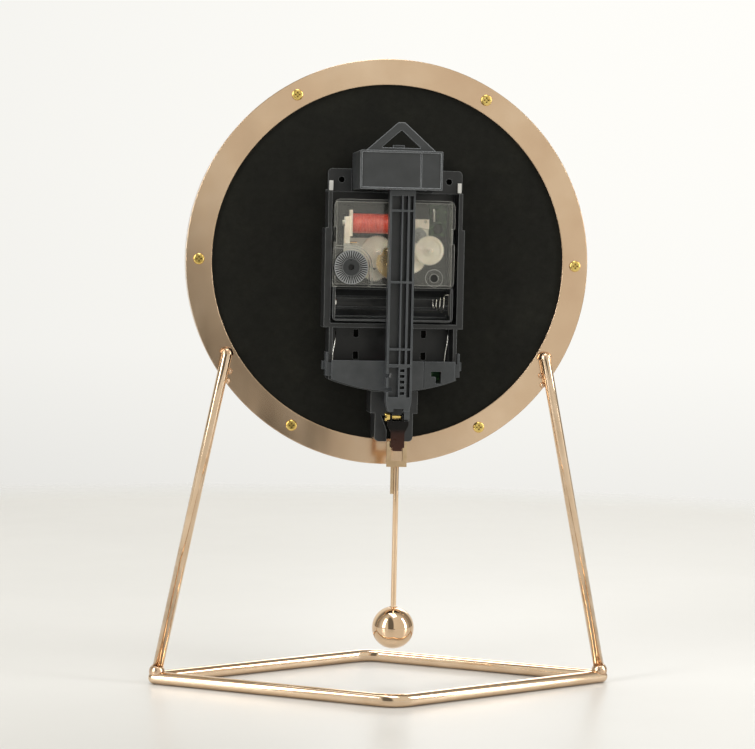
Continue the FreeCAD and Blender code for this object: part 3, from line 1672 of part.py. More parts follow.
os.makedirs("parts", exist_ok=True)
for name, make in pieces.items():
    shape = make()
    shape.exportStep("parts/" + name + ".step")
    sound = shape.isValid() and shape.Volume > 0
    print(name, len(shape.Solids), round(shape.Volume, 1), "" if sound else "NOT SOUND")
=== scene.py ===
import json
import math

import bmesh
import bpy
from mathutils import Matrix, Vector


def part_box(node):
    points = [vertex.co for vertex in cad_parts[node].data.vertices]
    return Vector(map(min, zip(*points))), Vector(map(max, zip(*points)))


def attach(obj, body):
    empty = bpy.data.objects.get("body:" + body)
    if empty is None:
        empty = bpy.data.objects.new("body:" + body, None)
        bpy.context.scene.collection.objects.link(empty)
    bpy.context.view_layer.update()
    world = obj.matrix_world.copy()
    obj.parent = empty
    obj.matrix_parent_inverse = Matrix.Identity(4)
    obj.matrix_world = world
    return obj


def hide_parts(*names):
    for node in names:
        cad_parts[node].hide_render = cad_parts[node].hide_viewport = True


# Looks of the desk clock with a swinging pendulum. Lengths are in metres.
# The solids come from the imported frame. This script gives them their finish,
# rounds their moulded edges, and adds the wires and windings.

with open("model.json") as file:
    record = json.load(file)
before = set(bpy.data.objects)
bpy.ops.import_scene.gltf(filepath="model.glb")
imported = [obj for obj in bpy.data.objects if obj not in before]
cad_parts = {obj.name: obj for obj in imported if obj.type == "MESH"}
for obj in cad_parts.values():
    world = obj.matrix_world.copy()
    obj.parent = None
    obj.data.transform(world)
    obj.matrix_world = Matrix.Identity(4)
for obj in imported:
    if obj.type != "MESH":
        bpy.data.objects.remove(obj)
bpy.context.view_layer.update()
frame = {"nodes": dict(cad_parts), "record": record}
nodes = frame["nodes"]

MM = 0.001
CENTRE_HEIGHT = 0.199  # of the middle of the case above the table

WELD_REACH = 0.002 * MM  # corners of facets nearer than this are joined
SHARP_ANGLE = math.radians(40)  # edges sharper than this are rounded
ROUNDING_STEPS = 2
EDGE_SAMPLES = 4
HOLLOW_SAMPLES = 8
CLEAR_INDEX = 1.46  # refraction of glass and clear plastic
SHADOW_PASS = 0.9  # share of a shadow ray that clear pieces let through
COIL_SIDES = 72
STEPS_PER_TURN = 4
FLOOR_RADIUS = 0.9
ROOM_MIDDLE = Vector((0, 0, 0.15))  # what the soft lights face


# Helpers
def add_node(tree, kind, **settings):
    """A new node of a tree, with its settings."""
    node = tree.nodes.new(kind)
    for key, value in settings.items():
        setattr(node, key, value)
    return node


def set_stops(node, stops):
    """Gives a colour ramp its stops, each a place and a colour."""
    ends = node.color_ramp.elements
    while len(ends) < len(stops):
        ends.new(0.5)
    for end, (at, colour) in zip(ends, stops):
        end.position = at
        end.color = colour


def new_object(name, data):
    """A new object in the scene."""
    made = bpy.data.objects.new(name, data)
    bpy.context.scene.collection.objects.link(made)
    return made


def smooth(mesh):
    mesh.polygons.foreach_set("use_smooth", [True] * len(mesh.polygons))


def srgb(red, green, blue):
    """A linear colour from 0 to 255 display values."""
    def linear(value):
        share = value / 255
        return share / 12.92 if share <= 0.04045 else ((share + 0.055) / 1.055) ** 2.4
    return (linear(red), linear(green), linear(blue), 1.0)


# Materials
class Finish:
    """A procedural material, whose colour, gloss and relief vary by the place on the object."""

    def __init__(self, name, metallic=0.0):
        self.material = bpy.data.materials.new(name)
        self.material.use_nodes = True
        self.tree = self.material.node_tree
        self.shader = self.tree.nodes["Principled BSDF"]
        self.shader.inputs["Metallic"].default_value = metallic
        self.place = self.add("ShaderNodeTexCoord").outputs["Object"]
        self.relief_end = None

    def add(self, kind, **settings):
        return add_node(self.tree, kind, **settings)

    def link(self, start, end):
        self.tree.links.new(start, end)

    def noise(self, size, detail=3.0, stretch=(1, 1, 1), roughness=0.55):
        """Noise whose patches are about size across."""
        mapping = self.add("ShaderNodeMapping")
        mapping.inputs["Scale"].default_value = [axis / size for axis in stretch]
        self.link(self.place, mapping.inputs["Vector"])
        texture = self.add("ShaderNodeTexNoise")
        texture.inputs["Scale"].default_value = 1.0
        texture.inputs["Detail"].default_value = detail
        texture.inputs["Roughness"].default_value = roughness
        self.link(mapping.outputs["Vector"], texture.inputs["Vector"])
        return texture.outputs["Fac"]

    def cells(self, size):
        """Rounded cells about size across, for grain and cast surfaces."""
        texture = self.add("ShaderNodeTexVoronoi")
        texture.inputs["Scale"].default_value = 1 / size
        self.link(self.place, texture.inputs["Vector"])
        return texture.outputs["Distance"]

    def along(self, axis, low, high):
        """Zero to one as the place along an axis goes from low to high."""
        parts = self.add("ShaderNodeSeparateXYZ")
        self.link(self.place, parts.inputs["Vector"])
        return self.spread(parts.outputs[axis], 0.0, 1.0, low, high)

    def ramp(self, factor, *stops):
        """Colours at stops of a factor."""
        node = self.add("ShaderNodeValToRGB")
        set_stops(node, stops)
        self.link(factor, node.inputs["Fac"])
        return node.outputs["Color"]

    def spread(self, factor, low, high, start=0.3, end=0.7):
        """A number from low to high as the factor goes from start to end."""
        node = self.add("ShaderNodeMapRange")
        node.inputs["From Min"].default_value = start
        node.inputs["From Max"].default_value = end
        node.inputs["To Min"].default_value = low
        node.inputs["To Max"].default_value = high
        self.link(factor, node.inputs["Value"])
        return node.outputs["Result"]

    def colour(self, factor, *stops):
        self.link(self.ramp(factor, *stops), self.shader.inputs["Base Color"])
        return self

    def gloss(self, factor, low, high):
        self.link(self.spread(factor, low, high), self.shader.inputs["Roughness"])
        return self

    def blend(self, factor, first, second):
        """The first colour where the factor is zero, the second where it is one."""
        node = self.add("ShaderNodeMix", data_type="RGBA")
        self.link(factor, node.inputs["Factor"])
        for key, colour in (("A", first), ("B", second)):
            if isinstance(colour, tuple):
                node.inputs[key].default_value = colour
            else:
                self.link(colour, node.inputs[key])
        return node.outputs["Result"]

    def rounded(self, reach):
        """The direction of a surface whose sharp edges are rounded within reach."""
        node = self.add("ShaderNodeBevel")
        node.samples = EDGE_SAMPLES
        node.inputs["Radius"].default_value = reach
        return node.outputs["Normal"]

    def edges(self, reach, strength):
        """Up to strength within reach of the sharp edges, and zero on the faces."""
        faces = self.add("ShaderNodeNewGeometry")
        match = self.add("ShaderNodeVectorMath", operation="DOT_PRODUCT")
        self.link(self.rounded(reach), match.inputs[0])
        self.link(faces.outputs["Normal"], match.inputs[1])
        on_edge, on_face = 0.9, 0.995
        return self.spread(match.outputs["Value"], strength, 0.0, on_edge, on_face)

    def relief(self, factor, depth, strength=1.0):
        """A bump of that depth in metres, on top of any earlier one."""
        node = self.add("ShaderNodeBump")
        node.inputs["Strength"].default_value = strength
        node.inputs["Distance"].default_value = depth
        self.link(factor, node.inputs["Height"])
        if self.relief_end is not None:
            self.link(self.relief_end, node.inputs["Normal"])
        self.relief_end = node.outputs["Normal"]
        self.link(self.relief_end, self.shader.inputs["Normal"])
        return self

    def set(self, **values):
        """Sets sockets of the shader, whose names have underscores here for spaces."""
        for key, value in values.items():
            self.shader.inputs[key.replace("_", " ")].default_value = value
        return self


def polished_metal(name, deep, pale, low=0.06, high=0.16, wave=0.000004):
    """Plated metal with soft waves, faint rubbing marks and small colour drift."""
    finish = Finish(name, metallic=1.0)
    finish.colour(finish.noise(14 * MM, 4.0), (0.3, deep), (0.7, pale))
    finish.gloss(finish.noise(5 * MM, 6.0), low, high)
    finish.relief(finish.noise(2.4 * MM, 2.0), wave)
    return finish.material


def satin_metal(name, deep, pale, low, high, grain, depth, stretch=(1, 1, 1)):
    """Rolled or brushed metal: stretched grain over slow colour drift."""
    finish = Finish(name, metallic=1.0)
    finish.colour(finish.noise(9 * MM, 5.0), (0.28, deep), (0.72, pale))
    finish.gloss(finish.noise(grain * 3, 5.0, stretch), low, high)
    finish.relief(finish.noise(grain, 3.0, stretch), depth)
    return finish.material


def moulded_plastic(name, deep, pale, low=0.28, high=0.42, painted_edge_highlight=None):
    """Moulded plastic: spark-eroded grain, flow marks, uneven gloss and, when an edge colour is given, a
    painted highlight along the sharp edges.
    """
    finish = Finish(name)
    skin = finish.ramp(finish.noise(6 * MM, 6.0), (0.3, deep), (0.7, pale))
    # Painted highlight: the sharp edges get a paler colour that stands in for glints of light.
    if painted_edge_highlight:
        skin = finish.blend(finish.edges(0.45 * MM, 0.8), skin, painted_edge_highlight)
    finish.link(skin, finish.shader.inputs["Base Color"])
    finish.gloss(finish.noise(3 * MM, 5.0), low, high)
    finish.relief(finish.noise(0.45 * MM, 2.0), 0.000008)
    finish.relief(finish.noise(11 * MM, 1.0), 0.000024)
    return finish.material


def clear_material(name, tint, roughness, haze=0.0, wave=0.000005, edge_share=None):
    """Clear glass or plastic. Most of a shadow ray passes, so that what lies behind stays lit.
    With edge_share, the edges pass only about that share of the light and look white, a painted
    highlight along them."""
    finish = Finish(name)
    finish.set(Transmission_Weight=1.0 - haze, IOR=CLEAR_INDEX)
    paler = tuple(min(1.0, 1.04 * part) for part in tint)
    finish.colour(finish.noise(20 * MM, 3.0), (0.3, tint), (0.7, paler))
    finish.gloss(finish.noise(7 * MM, 4.0), roughness * 0.6, roughness * 1.4)
    finish.relief(finish.noise(8 * MM, 1.0), wave)
    if edge_share:
        # Painted highlight: the edges pass less light, so that they show white like glints.
        painted_edge_glint = finish.spread(finish.edges(0.4 * MM, 1.0), 1.0 - haze, edge_share, 0.0, 1.0)
        finish.link(painted_edge_glint, finish.shader.inputs["Transmission Weight"])
    light_path = finish.add("ShaderNodeLightPath")
    let_through = finish.add("ShaderNodeMath", operation="MULTIPLY_ADD")
    let_through.inputs[1].default_value = -SHADOW_PASS
    let_through.inputs[2].default_value = 1.0
    finish.link(light_path.outputs["Is Shadow Ray"], let_through.inputs[0])
    finish.link(let_through.outputs["Value"], finish.shader.inputs["Alpha"])
    return finish.material


def flange_metal():
    """Rose gold plate over rolled metal: slow ripples, long faint streaks and soft satin patches."""
    finish = Finish("rose_gold_flange", metallic=1.0)
    finish.colour(finish.noise(34 * MM, 3.0), (0.3, srgb(222, 190, 158)),
                  (0.52, srgb(230, 200, 168)), (0.72, srgb(238, 210, 180)))
    finish.gloss(finish.noise(22 * MM, 3.0, (1, 1, 0.3)), 0.12, 0.2)
    finish.relief_end = finish.rounded(0.6 * MM)
    finish.relief(finish.noise(42 * MM, 1.0, (1, 1, 0.5)), 0.0004)
    finish.relief(finish.noise(0.5 * MM, 2.0, (1, 1, 0.05)), 0.000002)
    return finish.material


def board_surface():
    """Matte black board with a fine leathery grain and faint dust."""
    finish = Finish("board_black")
    finish.colour(finish.noise(17 * MM, 8.0, roughness=0.7), (0.3, srgb(17, 17, 13)),
                  (0.55, srgb(23, 23, 18)), (0.75, srgb(30, 30, 24)))
    finish.gloss(finish.noise(4 * MM, 6.0), 0.62, 0.82)
    finish.relief(finish.cells(0.9 * MM), 0.00004, 0.6)
    finish.relief(finish.noise(0.35 * MM, 3.0), 0.00002)
    finish.set(Specular_IOR_Level=0.16)
    return finish.material


def dial_surface():
    """Warm white enamel with a fine even grain."""
    finish = Finish("dial_white")
    finish.colour(finish.noise(30 * MM, 4.0), (0.3, srgb(249, 244, 234)), (0.7, srgb(251, 247, 239)))
    finish.gloss(finish.noise(2 * MM, 5.0), 0.34, 0.48)
    finish.relief(finish.noise(0.25 * MM, 2.0), 0.000006)
    return finish.material


def winding_surface():
    """Red enamelled wire, glossy, with slight shade changes from turn to turn."""
    finish = Finish("copper_red")
    finish.colour(finish.noise(0.7 * MM, 4.0, (1, 0.15, 0.15)), (0.25, srgb(196, 44, 26)),
                  (0.5, srgb(232, 70, 46)), (0.78, srgb(246, 112, 80)))
    finish.gloss(finish.noise(1.5 * MM, 4.0), 0.22, 0.4)
    finish.set(Coat_Weight=0.5, Coat_Roughness=0.15)
    return finish.material


def circuit_surface():
    """Solder mask over traces, which stand a little proud and lighter."""
    finish = Finish("circuit_green")
    traces = finish.cells(2.2 * MM)
    finish.colour(traces, (0.28, srgb(62, 96, 54)), (0.34, srgb(34, 66, 38)), (0.9, srgb(26, 54, 32)))
    finish.gloss(finish.noise(2 * MM, 4.0), 0.25, 0.42)
    finish.relief(traces, 0.00004, 0.5)
    return finish.material


def gear_plastic(name, deep, pale):
    """Unfilled moulding resin of gears: pale, slightly waxy, with light passing under its skin."""
    finish = Finish(name)
    finish.colour(finish.noise(4 * MM, 5.0), (0.3, deep), (0.7, pale))
    finish.gloss(finish.noise(2 * MM, 4.0), 0.3, 0.46)
    finish.relief(finish.noise(0.4 * MM, 2.0), 0.000008)
    finish.set(Subsurface_Weight=0.15, Subsurface_Scale=0.0008)
    return finish.material


def knob_plastic():
    """Black knob plastic with a painted highlight on its ridge tops and painted shade in the grooves
    between them.
    """
    finish = Finish("knob_black")
    low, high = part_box("set_knob")
    middle = (low + high) / 2
    offset = finish.add("ShaderNodeVectorMath", operation="SUBTRACT")
    finish.link(finish.place, offset.inputs[0])
    offset.inputs[1].default_value = middle
    across = finish.add("ShaderNodeVectorMath", operation="MULTIPLY")
    finish.link(offset.outputs["Vector"], across.inputs[0])
    across.inputs[1].default_value = (1, 0, 1)
    radius = finish.add("ShaderNodeVectorMath", operation="LENGTH")
    finish.link(across.outputs["Vector"], radius.inputs[0])
    ridged = finish.spread(radius.outputs["Value"], 0.4, 1.0, 3.8 * MM, 4.3 * MM)
    ridge_glint_and_groove_shade = finish.add("ShaderNodeMath", operation="MULTIPLY")
    finish.link(finish.along("Y", high[1] - 0.4 * MM, high[1] - 0.05 * MM), ridge_glint_and_groove_shade.inputs[0])
    finish.link(ridged, ridge_glint_and_groove_shade.inputs[1])
    # Painted light: groove floors are painted dark as shade and ridge tops pale as a highlight, and the
    # hub keeps a middle grey.
    finish.colour(ridge_glint_and_groove_shade.outputs["Value"], (0.0, srgb(10, 11, 11)), (0.4, srgb(48, 50, 51)),
                  (1.0, srgb(158, 160, 160)))
    finish.gloss(finish.noise(2 * MM, 4.0), 0.24, 0.36)
    finish.relief(finish.noise(0.4 * MM, 2.0), 0.000006)
    return finish.material


def screw_brass():
    """Bright brass with painted shade that darkens the recess of a head."""
    finish = Finish("brass", metallic=1.0)
    skin = finish.ramp(finish.noise(2 * MM, 4.0), (0.3, srgb(226, 190, 100)), (0.7, srgb(246, 218, 136)))
    hollow = finish.add("ShaderNodeAmbientOcclusion")
    hollow.samples = HOLLOW_SAMPLES
    hollow.inputs["Distance"].default_value = 0.7 * MM
    # Painted shade: the colour darkens towards dark brown where ambient occlusion finds a recess.
    shade = finish.spread(hollow.outputs["AO"], 1.0, 0.0, 0.5, 0.85)
    finish.link(finish.blend(shade, skin, srgb(88, 62, 18)), finish.shader.inputs["Base Color"])
    finish.gloss(finish.noise(1.5 * MM, 5.0), 0.14, 0.24)
    finish.relief(finish.noise(1.2 * MM, 2.0), 0.00001)
    return finish.material


def hook_plastic():
    """Near black plastic at the shoulders; down the thin tongue a reddish brown, painted as the glow of
    light passing through it.
    """
    finish = Finish("dark_hook")
    low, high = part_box("hook_block")
    # Painted light: the lower, reddish brown part stands in for light passing through the thin tongue.
    finish.colour(finish.along("Z", low[2], high[2]), (0.0, srgb(60, 34, 26)),
                  (0.45, srgb(46, 27, 21)), (0.58, srgb(13, 11, 9)), (1.0, srgb(10, 9, 8)))
    finish.set(Specular_IOR_Level=0.2)
    finish.gloss(finish.noise(3 * MM, 4.0), 0.24, 0.36)
    finish.relief(finish.noise(0.4 * MM, 2.0), 0.000008)
    return finish.material


materials = {
    "stand_metal": polished_metal("stand_metal", srgb(222, 194, 162), srgb(237, 212, 184),
                                  0.06, 0.12, 0.0000008),
    "weld_metal": satin_metal("weld_metal", srgb(198, 164, 132), srgb(234, 204, 174),
                              0.14, 0.36, 0.9 * MM, 0.00012),
    "rose_gold": flange_metal(),
    "brass": screw_brass(),
    "board_black": board_surface(),
    "dial_white": dial_surface(),
    "marks": satin_metal("marks", srgb(190, 144, 112), srgb(214, 170, 138),
                         0.18, 0.32, 0.3 * MM, 0.000004, (1, 1, 8)),
    "dots": moulded_plastic("dots", srgb(62, 58, 56), srgb(78, 74, 70)),
    "hands": satin_metal("hands", srgb(196, 150, 118), srgb(218, 176, 144),
                         0.16, 0.3, 0.25 * MM, 0.000004, (1, 1, 8)),
    "second_red": moulded_plastic("second_red", srgb(172, 40, 30), srgb(190, 52, 40), 0.3, 0.42),
    "spacer_grey": moulded_plastic("spacer_grey", srgb(214, 210, 202), srgb(226, 222, 214)),
    "clear_glass": clear_material("clear_glass", srgb(252, 251, 250), 0.01),
    # The last colour given to these three plastics is a painted highlight along their sharp edges.
    "black_plastic": moulded_plastic("black_plastic", srgb(32, 33, 33), srgb(42, 43, 44),
                                     painted_edge_highlight=srgb(138, 141, 142)),
    "dark_grey_plastic": moulded_plastic("dark_grey_plastic", srgb(56, 59, 61), srgb(68, 70, 72),
                                         painted_edge_highlight=srgb(104, 108, 112)),
    "block_plastic": moulded_plastic("block_plastic", srgb(49, 51, 52), srgb(58, 60, 61),
                                     painted_edge_highlight=srgb(176, 180, 184)),
    "clear_plastic": clear_material("clear_plastic", srgb(244, 243, 234), 0.04,
                                    haze=0.015, wave=0.00003, edge_share=0.45),
    "white_plastic": moulded_plastic("white_plastic", srgb(224, 222, 216), srgb(238, 236, 230)),
    "bobbin_plastic": gear_plastic("bobbin_plastic", srgb(216, 204, 190), srgb(234, 224, 212)),
    "copper_red": winding_surface(),
    "gear_brass": polished_metal("gear_brass", srgb(206, 172, 118), srgb(228, 198, 146), 0.2, 0.34),
    "gear_white": gear_plastic("gear_white", srgb(222, 212, 198), srgb(238, 230, 218)),
    "stator_steel": satin_metal("stator_steel", srgb(176, 172, 164), srgb(204, 200, 192),
                                0.26, 0.42, 0.5 * MM, 0.00001),
    "contact_steel": polished_metal("contact_steel", srgb(214, 212, 206), srgb(236, 234, 228),
                                    0.1, 0.22),
    "circuit_green": circuit_surface(),
    "chip_black": moulded_plastic("chip_black", srgb(18, 18, 19), srgb(26, 26, 27), 0.12, 0.22),
    "pin_steel": satin_metal("pin_steel", srgb(150, 150, 148), srgb(188, 187, 184),
                             0.16, 0.3, 0.3 * MM, 0.000004),
    "magnet_grey": satin_metal("magnet_grey", srgb(112, 112, 114), srgb(140, 140, 142),
                               0.25, 0.42, 0.5 * MM, 0.000008),
    "gold_plate": polished_metal("gold_plate", srgb(214, 184, 146), srgb(232, 206, 170),
                                 0.08, 0.18, 0.00001),
    "dark_hook": hook_plastic(),
    "ball_chrome": polished_metal("ball_chrome", srgb(226, 193, 158), srgb(237, 208, 175),
                                  0.03, 0.08, 0.000001),
    "knob_black": knob_plastic(),
}

slot_of = {part["node"]: part["material_slot"] for part in frame["record"]["subparts"]}


# Finish of the solids
# Radii of the rounded edges, in millimetres
edge_radii = {
    "movement_case": 0.4, "movement_cover": 0.45, "chassis_frame": 0.4, "pivot_housing": 0.5,
    "housing_cover": 0.35, "hanger_loop": 0.45, "swing_arm": 0.25, "apron_cover": 0.5,
    "guard_plate": 0.3, "hook_block": 0.2, "hook_plate": 0.15, "ear_clips": 0.15,
    "set_knob": 0.08, "coil_bobbin": 0.15, "stator": 0.1, "stator_clamp": 0.15,
    "bridge_plate": 0.12, "bushing_nut": 0.25, "bushing_washer": 0.12, "hour_hand": 0.1,
    "minute_hand": 0.1, "second_hand": 0.06, "front_glass": 0.25, "circuit_board": 0.1,
    "contact_plates": 0.08, "arm_magnet": 0.15, "pivot_pin": 0.2, "hook_screw": 0.12,
}


def dress(name, node):
    """Gives a solid its material, joins its facets and rounds its sharp edges."""
    node.data.materials.clear()
    node.data.materials.append(materials[slot_of[name]])
    weld = node.modifiers.new("weld", "WELD")
    weld.merge_threshold = WELD_REACH
    if name in edge_radii:
        bevel = node.modifiers.new("rounding", "BEVEL")
        bevel.width = edge_radii[name] * MM
        bevel.segments = ROUNDING_STEPS
        bevel.limit_method = "ANGLE"
        bevel.angle_limit = SHARP_ANGLE
        bevel.use_clamp_overlap = True
        bevel.harden_normals = True
        bevel.miter_outer = "MITER_ARC"


for node_name, node in nodes.items():
    dress(node_name, node)


# Wires and windings
def point(x, y, z):
    """A place in metres from millimetres, with z counted from the middle of the case."""
    return Vector((x * MM, y * MM, CENTRE_HEIGHT + z * MM))


def wire(name, points, radius, slot):
    """A round wire along a smooth line through the points, as a mesh with closed ends."""
    curve = bpy.data.curves.new(name, "CURVE")
    curve.dimensions = "3D"
    curve.bevel_depth = radius
    curve.bevel_resolution = 4
    curve.resolution_u = 10
    curve.use_fill_caps = True
    spline = curve.splines.new("BEZIER")
    spline.bezier_points.add(len(points) - 1)
    for knot, place in zip(spline.bezier_points, points):
        knot.co = place
        knot.handle_left_type = "AUTO"
        knot.handle_right_type = "AUTO"
    line = new_object(name + "_line", curve)
    bpy.context.view_layer.update()
    mesh = bpy.data.meshes.new_from_object(line.evaluated_get(bpy.context.evaluated_depsgraph_get()))
    bpy.data.objects.remove(line)
    piece = new_object(name, mesh)
    mesh.materials.clear()
    mesh.materials.append(materials[slot])
    smooth(mesh)
    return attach(piece, "clock_body")


def wound_coil(name, replaced, axis, wire_radius, inner_share):
    """Replaces a plain winding by one with its turns, as a ribbed band closed by two rings."""
    low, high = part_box(replaced)
    middle = (low + high) / 2
    size = high - low
    along = {"x": 0, "y": 1}[axis]
    radius = size[2] / 2
    length = size[along]
    turns = int(length / (2 * wire_radius))
    steps = turns * STEPS_PER_TURN
    mesh = bmesh.new()
    loops = []

    def loop(offset, at_radius):
        verts = []
        for side in range(COIL_SIDES):
            angle = 2 * math.pi * side / COIL_SIDES
            place = middle.copy()
            place[along] += offset
            place[1 - along] += at_radius * math.cos(angle)
            place[2] += at_radius * math.sin(angle)
            verts.append(mesh.verts.new(place))
        return verts

    inner = radius * inner_share
    loops.append(loop(-length / 2, inner))
    for step in range(steps + 1):
        swell = abs(math.sin(math.pi * step / STEPS_PER_TURN))
        loops.append(loop(-length / 2 + length * step / steps, radius - wire_radius * (1 - swell)))
    loops.append(loop(length / 2, inner))
    for first, second in zip(loops, loops[1:] + loops[:1]):
        for side in range(COIL_SIDES):
            after = (side + 1) % COIL_SIDES
            mesh.faces.new((first[side], first[after], second[after], second[side]))
    bmesh.ops.recalc_face_normals(mesh, faces=mesh.faces)
    data = bpy.data.meshes.new(name)
    mesh.to_mesh(data)
    mesh.free()
    data.materials.append(materials["copper_red"])
    smooth(data)
    piece = new_object(name, data)
    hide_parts(replaced)
    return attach(piece, "clock_body")


wound_coil("motor_winding", "coil_winding", "x", 0.14 * MM, 0.5)
wound_coil("drive_winding", "drive_coil", "y", 0.16 * MM, 0.48)

wire("drive_lead_left",
     [point(25.4, 1.2, -31.4), point(25.6, 8.5, -33.2), point(26.2, 11.6, -37.4),
      point(27.0, 12.4, -41.5), point(27.2, 12.2, -46.6)], 0.22 * MM, "contact_steel")
wire("drive_lead_right",
     [point(-27.2, 1.2, -30.9), point(-26.8, 9.6, -32.2), point(-26.2, 11.8, -37.0),
      point(-25.4, 12.2, -41.6), point(-25.0, 12.2, -46.6)], 0.22 * MM, "contact_steel")


# Floor and background
def studio_floor():
    """A pale polished table top with painted shade on the photographer's side of the clock,
    that fades out towards its rim."""
    mesh = bmesh.new()
    bmesh.ops.create_circle(mesh, cap_ends=True, segments=128, radius=FLOOR_RADIUS)
    data = bpy.data.meshes.new("studio_floor")
    mesh.to_mesh(data)
    mesh.free()
    floor = new_object("studio_floor", data)
    finish = Finish("studio_floor")
    clouds = finish.noise(0.35, 2.0)
    far = finish.ramp(clouds, (0.3, (0.67, 0.66, 0.637, 1)), (0.7, (0.70, 0.69, 0.667, 1)))
    painted_shade_tone = finish.ramp(clouds, (0.3, (0.57, 0.56, 0.535, 1)), (0.7, (0.60, 0.59, 0.565, 1)))
    none, full = (0, 0, 0, 1), (1, 1, 1, 1)
    # Painted shade: the band of floor on the photographer's side of the clock gets darker colours.
    painted_shade_mask = finish.ramp(finish.along("Y", 0.0, 0.5),
                           (0.0, none), (0.3, full), (0.45, full), (1.0, none))
    finish.link(finish.blend(painted_shade_mask, far, painted_shade_tone), finish.shader.inputs["Base Color"])
    finish.gloss(finish.noise(0.05, 3.0), 0.3, 0.36)
    finish.set(Specular_IOR_Level=0.28)
    centre = finish.add("ShaderNodeVectorMath", operation="LENGTH")
    finish.link(finish.place, centre.inputs[0])
    fade = finish.spread(centre.outputs["Value"], 1.0, 0.0, FLOOR_RADIUS * 0.84, FLOOR_RADIUS * 0.97)
    finish.link(fade, finish.shader.inputs["Alpha"])
    data.materials.append(finish.material)


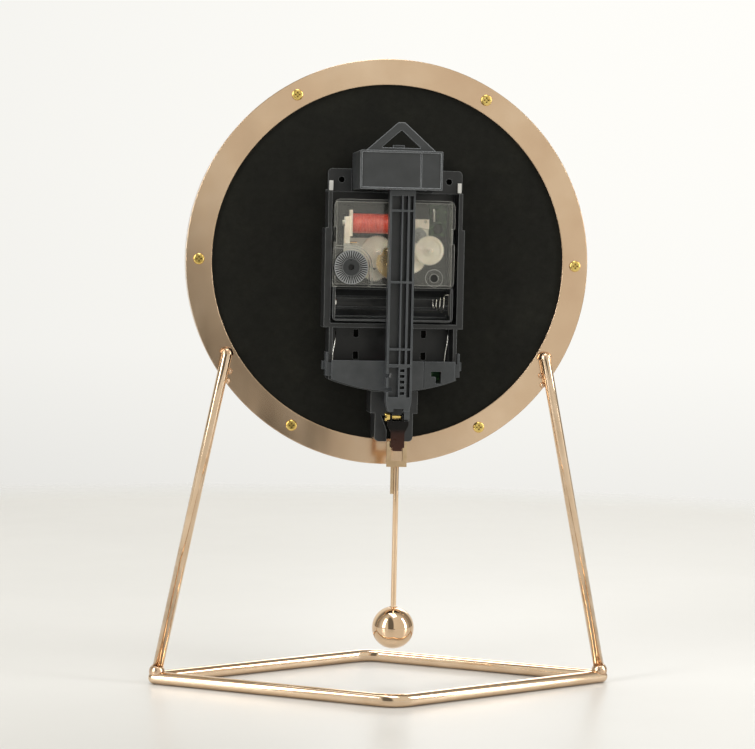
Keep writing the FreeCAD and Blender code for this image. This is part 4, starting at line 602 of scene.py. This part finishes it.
def studio_world():
    """Pale to the camera and through clear pieces, and to the rest a soft room with dim sides."""
    world = bpy.data.worlds.new("studio_world")
    world.use_nodes = True
    tree = world.node_tree
    tree.nodes.clear()

    def add(kind, **settings):
        return add_node(tree, kind, **settings)

    def ramp(factor, *stops):
        """Warm greys at stops of a factor."""
        node = add("ShaderNodeValToRGB")
        set_stops(node, [(at, (grey, grey * 0.995, grey * 0.975, 1)) for at, grey in stops])
        tree.links.new(factor, node.inputs["Fac"])
        return node.outputs["Color"]

    def half_range(output):
        """Zero to one for a part of the direction, which goes from -1 to 1."""
        node = add("ShaderNodeMapRange")
        node.inputs["From Min"].default_value = -1
        node.inputs["From Max"].default_value = 1
        tree.links.new(output, node.inputs["Value"])
        return node.outputs["Result"]

    def product(first, second):
        """Two colours multiplied."""
        node = add("ShaderNodeMix", data_type="RGBA", blend_type="MULTIPLY")
        node.inputs["Factor"].default_value = 1.0
        tree.links.new(first, node.inputs["A"])
        tree.links.new(second, node.inputs["B"])
        return node.outputs["Result"]

    place = add("ShaderNodeTexCoord").outputs["Generated"]
    parts = add("ShaderNodeSeparateXYZ")
    tree.links.new(place, parts.inputs["Vector"])
    height = half_range(parts.outputs["Z"])
    depth = half_range(parts.outputs["Y"])
    width = half_range(parts.outputs["X"])

    seen_up = ramp(height, (0.40, 0.84), (0.445, 0.87), (0.477, 0.965), (0.52, 0.99), (0.56, 1.0))
    seen_across = ramp(width, (0.36, 1.0), (0.43, 0.99), (0.48, 0.955), (0.53, 0.92))
    seen = add("ShaderNodeBackground")
    tree.links.new(product(seen_up, seen_across), seen.inputs["Color"])

    # The backdrop and the side behind the photographer are bright, with dark walls between them.
    room_up = ramp(height, (0.30, 0.85), (0.47, 0.84), (0.53, 0.84), (0.66, 0.88), (1.0, 0.95))
    room_deep = ramp(depth, (0.0, 1.0), (0.14, 0.95), (0.24, 0.26),
                     (0.40, 0.28), (0.60, 0.82), (1.0, 0.92))

    def dark_figure(middle, squeeze, core, rim, least):
        """Least inside a soft figure around a direction, and one outside it. A squeeze under 1
        makes the figure longer that way."""
        squeezed = add("ShaderNodeVectorMath", operation="MULTIPLY")
        tree.links.new(place, squeezed.inputs[0])
        squeezed.inputs[1].default_value = squeeze
        away = add("ShaderNodeVectorMath", operation="DISTANCE")
        tree.links.new(squeezed.outputs["Vector"], away.inputs[0])
        away.inputs[1].default_value = [part * scale for part, scale in zip(middle, squeeze)]
        node = add("ShaderNodeMapRange")
        node.inputs["From Min"].default_value = core
        node.inputs["From Max"].default_value = rim
        node.inputs["To Min"].default_value = least
        tree.links.new(away.outputs["Value"], node.inputs["Value"])
        return ramp(node.outputs["Result"], (0.0, 0.0), (1.0, 1.0))

    # The camera and the photographer stand dark in front of the bright side.
    room = add("ShaderNodeBackground")
    camera_dark = dark_figure(middle=(0.0, 0.993, -0.11), squeeze=(1, 1, 1),
                              core=0.08, rim=0.15, least=0.02)
    person_dark = dark_figure(middle=(0.3, 0.9, 0.3), squeeze=(1, 0.3, 0.3),
                              core=0.22, rim=0.30, least=0.2)
    room_light = product(product(room_up, room_deep), product(camera_dark, person_dark))
    tree.links.new(room_light, room.inputs["Color"])

    # What is seen through glass and clear plastic is the same as what the camera sees.
    light_path = add("ShaderNodeLightPath")
    direct = add("ShaderNodeMath", operation="MAXIMUM")
    tree.links.new(light_path.outputs["Is Camera Ray"], direct.inputs[0])
    tree.links.new(light_path.outputs["Is Transmission Ray"], direct.inputs[1])
    pick = add("ShaderNodeMixShader")
    tree.links.new(direct.outputs["Value"], pick.inputs["Fac"])
    tree.links.new(room.outputs["Background"], pick.inputs[1])
    tree.links.new(seen.outputs["Background"], pick.inputs[2])
    out = add("ShaderNodeOutputWorld")
    tree.links.new(pick.outputs["Shader"], out.inputs["Surface"])
    bpy.context.scene.world = world


def softbox(name, place, size, watts):
    """A soft light that faces the clock."""
    light = bpy.data.lights.new(name, "AREA")
    light.shape = "RECTANGLE"
    light.size, light.size_y = size
    light.energy = watts
    lamp = new_object(name, light)
    lamp.location = place
    lamp.rotation_euler = (ROOM_MIDDLE - Vector(place)).to_track_quat("-Z", "Y").to_euler()


studio_floor()
studio_world()
softbox("softbox_left", (1.25, 0.75, 0.75), (0.34, 1.3), 11)
softbox("softbox_right", (-1.3, 0.55, 0.65), (0.26, 1.3), 9)
softbox("softbox_top", (0.1, 0.05, 1.5), (1.3, 0.5), 9)
softbox("softbox_front", (-0.5, -1.4, 0.9), (0.9, 0.9), 5)


# Camera
def photo_camera():
    """The photograph's viewpoint: behind the clock, a little above its middle."""
    azimuth = math.radians(173.017)
    elevation = math.radians(3.263)
    roll = math.radians(1.199)
    distance = 1.0
    target = Vector((0.00459, 0, 0.14641))
    back = Vector((math.sin(azimuth) * math.cos(elevation), -math.cos(azimuth) * math.cos(elevation),
                   math.sin(elevation)))
    right = (-back).cross(Vector((0, 0, 1))).normalized()
    up = right.cross(-back)
    rolled_right = right * math.cos(roll) + up * math.sin(roll)
    rolled_up = up * math.cos(roll) - right * math.sin(roll)
    data = bpy.data.cameras.new("photo_camera")
    data.sensor_fit = "HORIZONTAL"
    data.sensor_width = 36
    data.lens = 101.51
    data.clip_start = 0.01
    data.clip_end = 20
    camera = new_object("photo_camera", data)
    turn = Matrix((rolled_right, rolled_up, back)).transposed().to_4x4()
    camera.matrix_world = Matrix.Translation(target + back * distance) @ turn
    bpy.context.scene.camera = camera


photo_camera()
bpy.context.scene.view_settings.view_transform = "Standard"
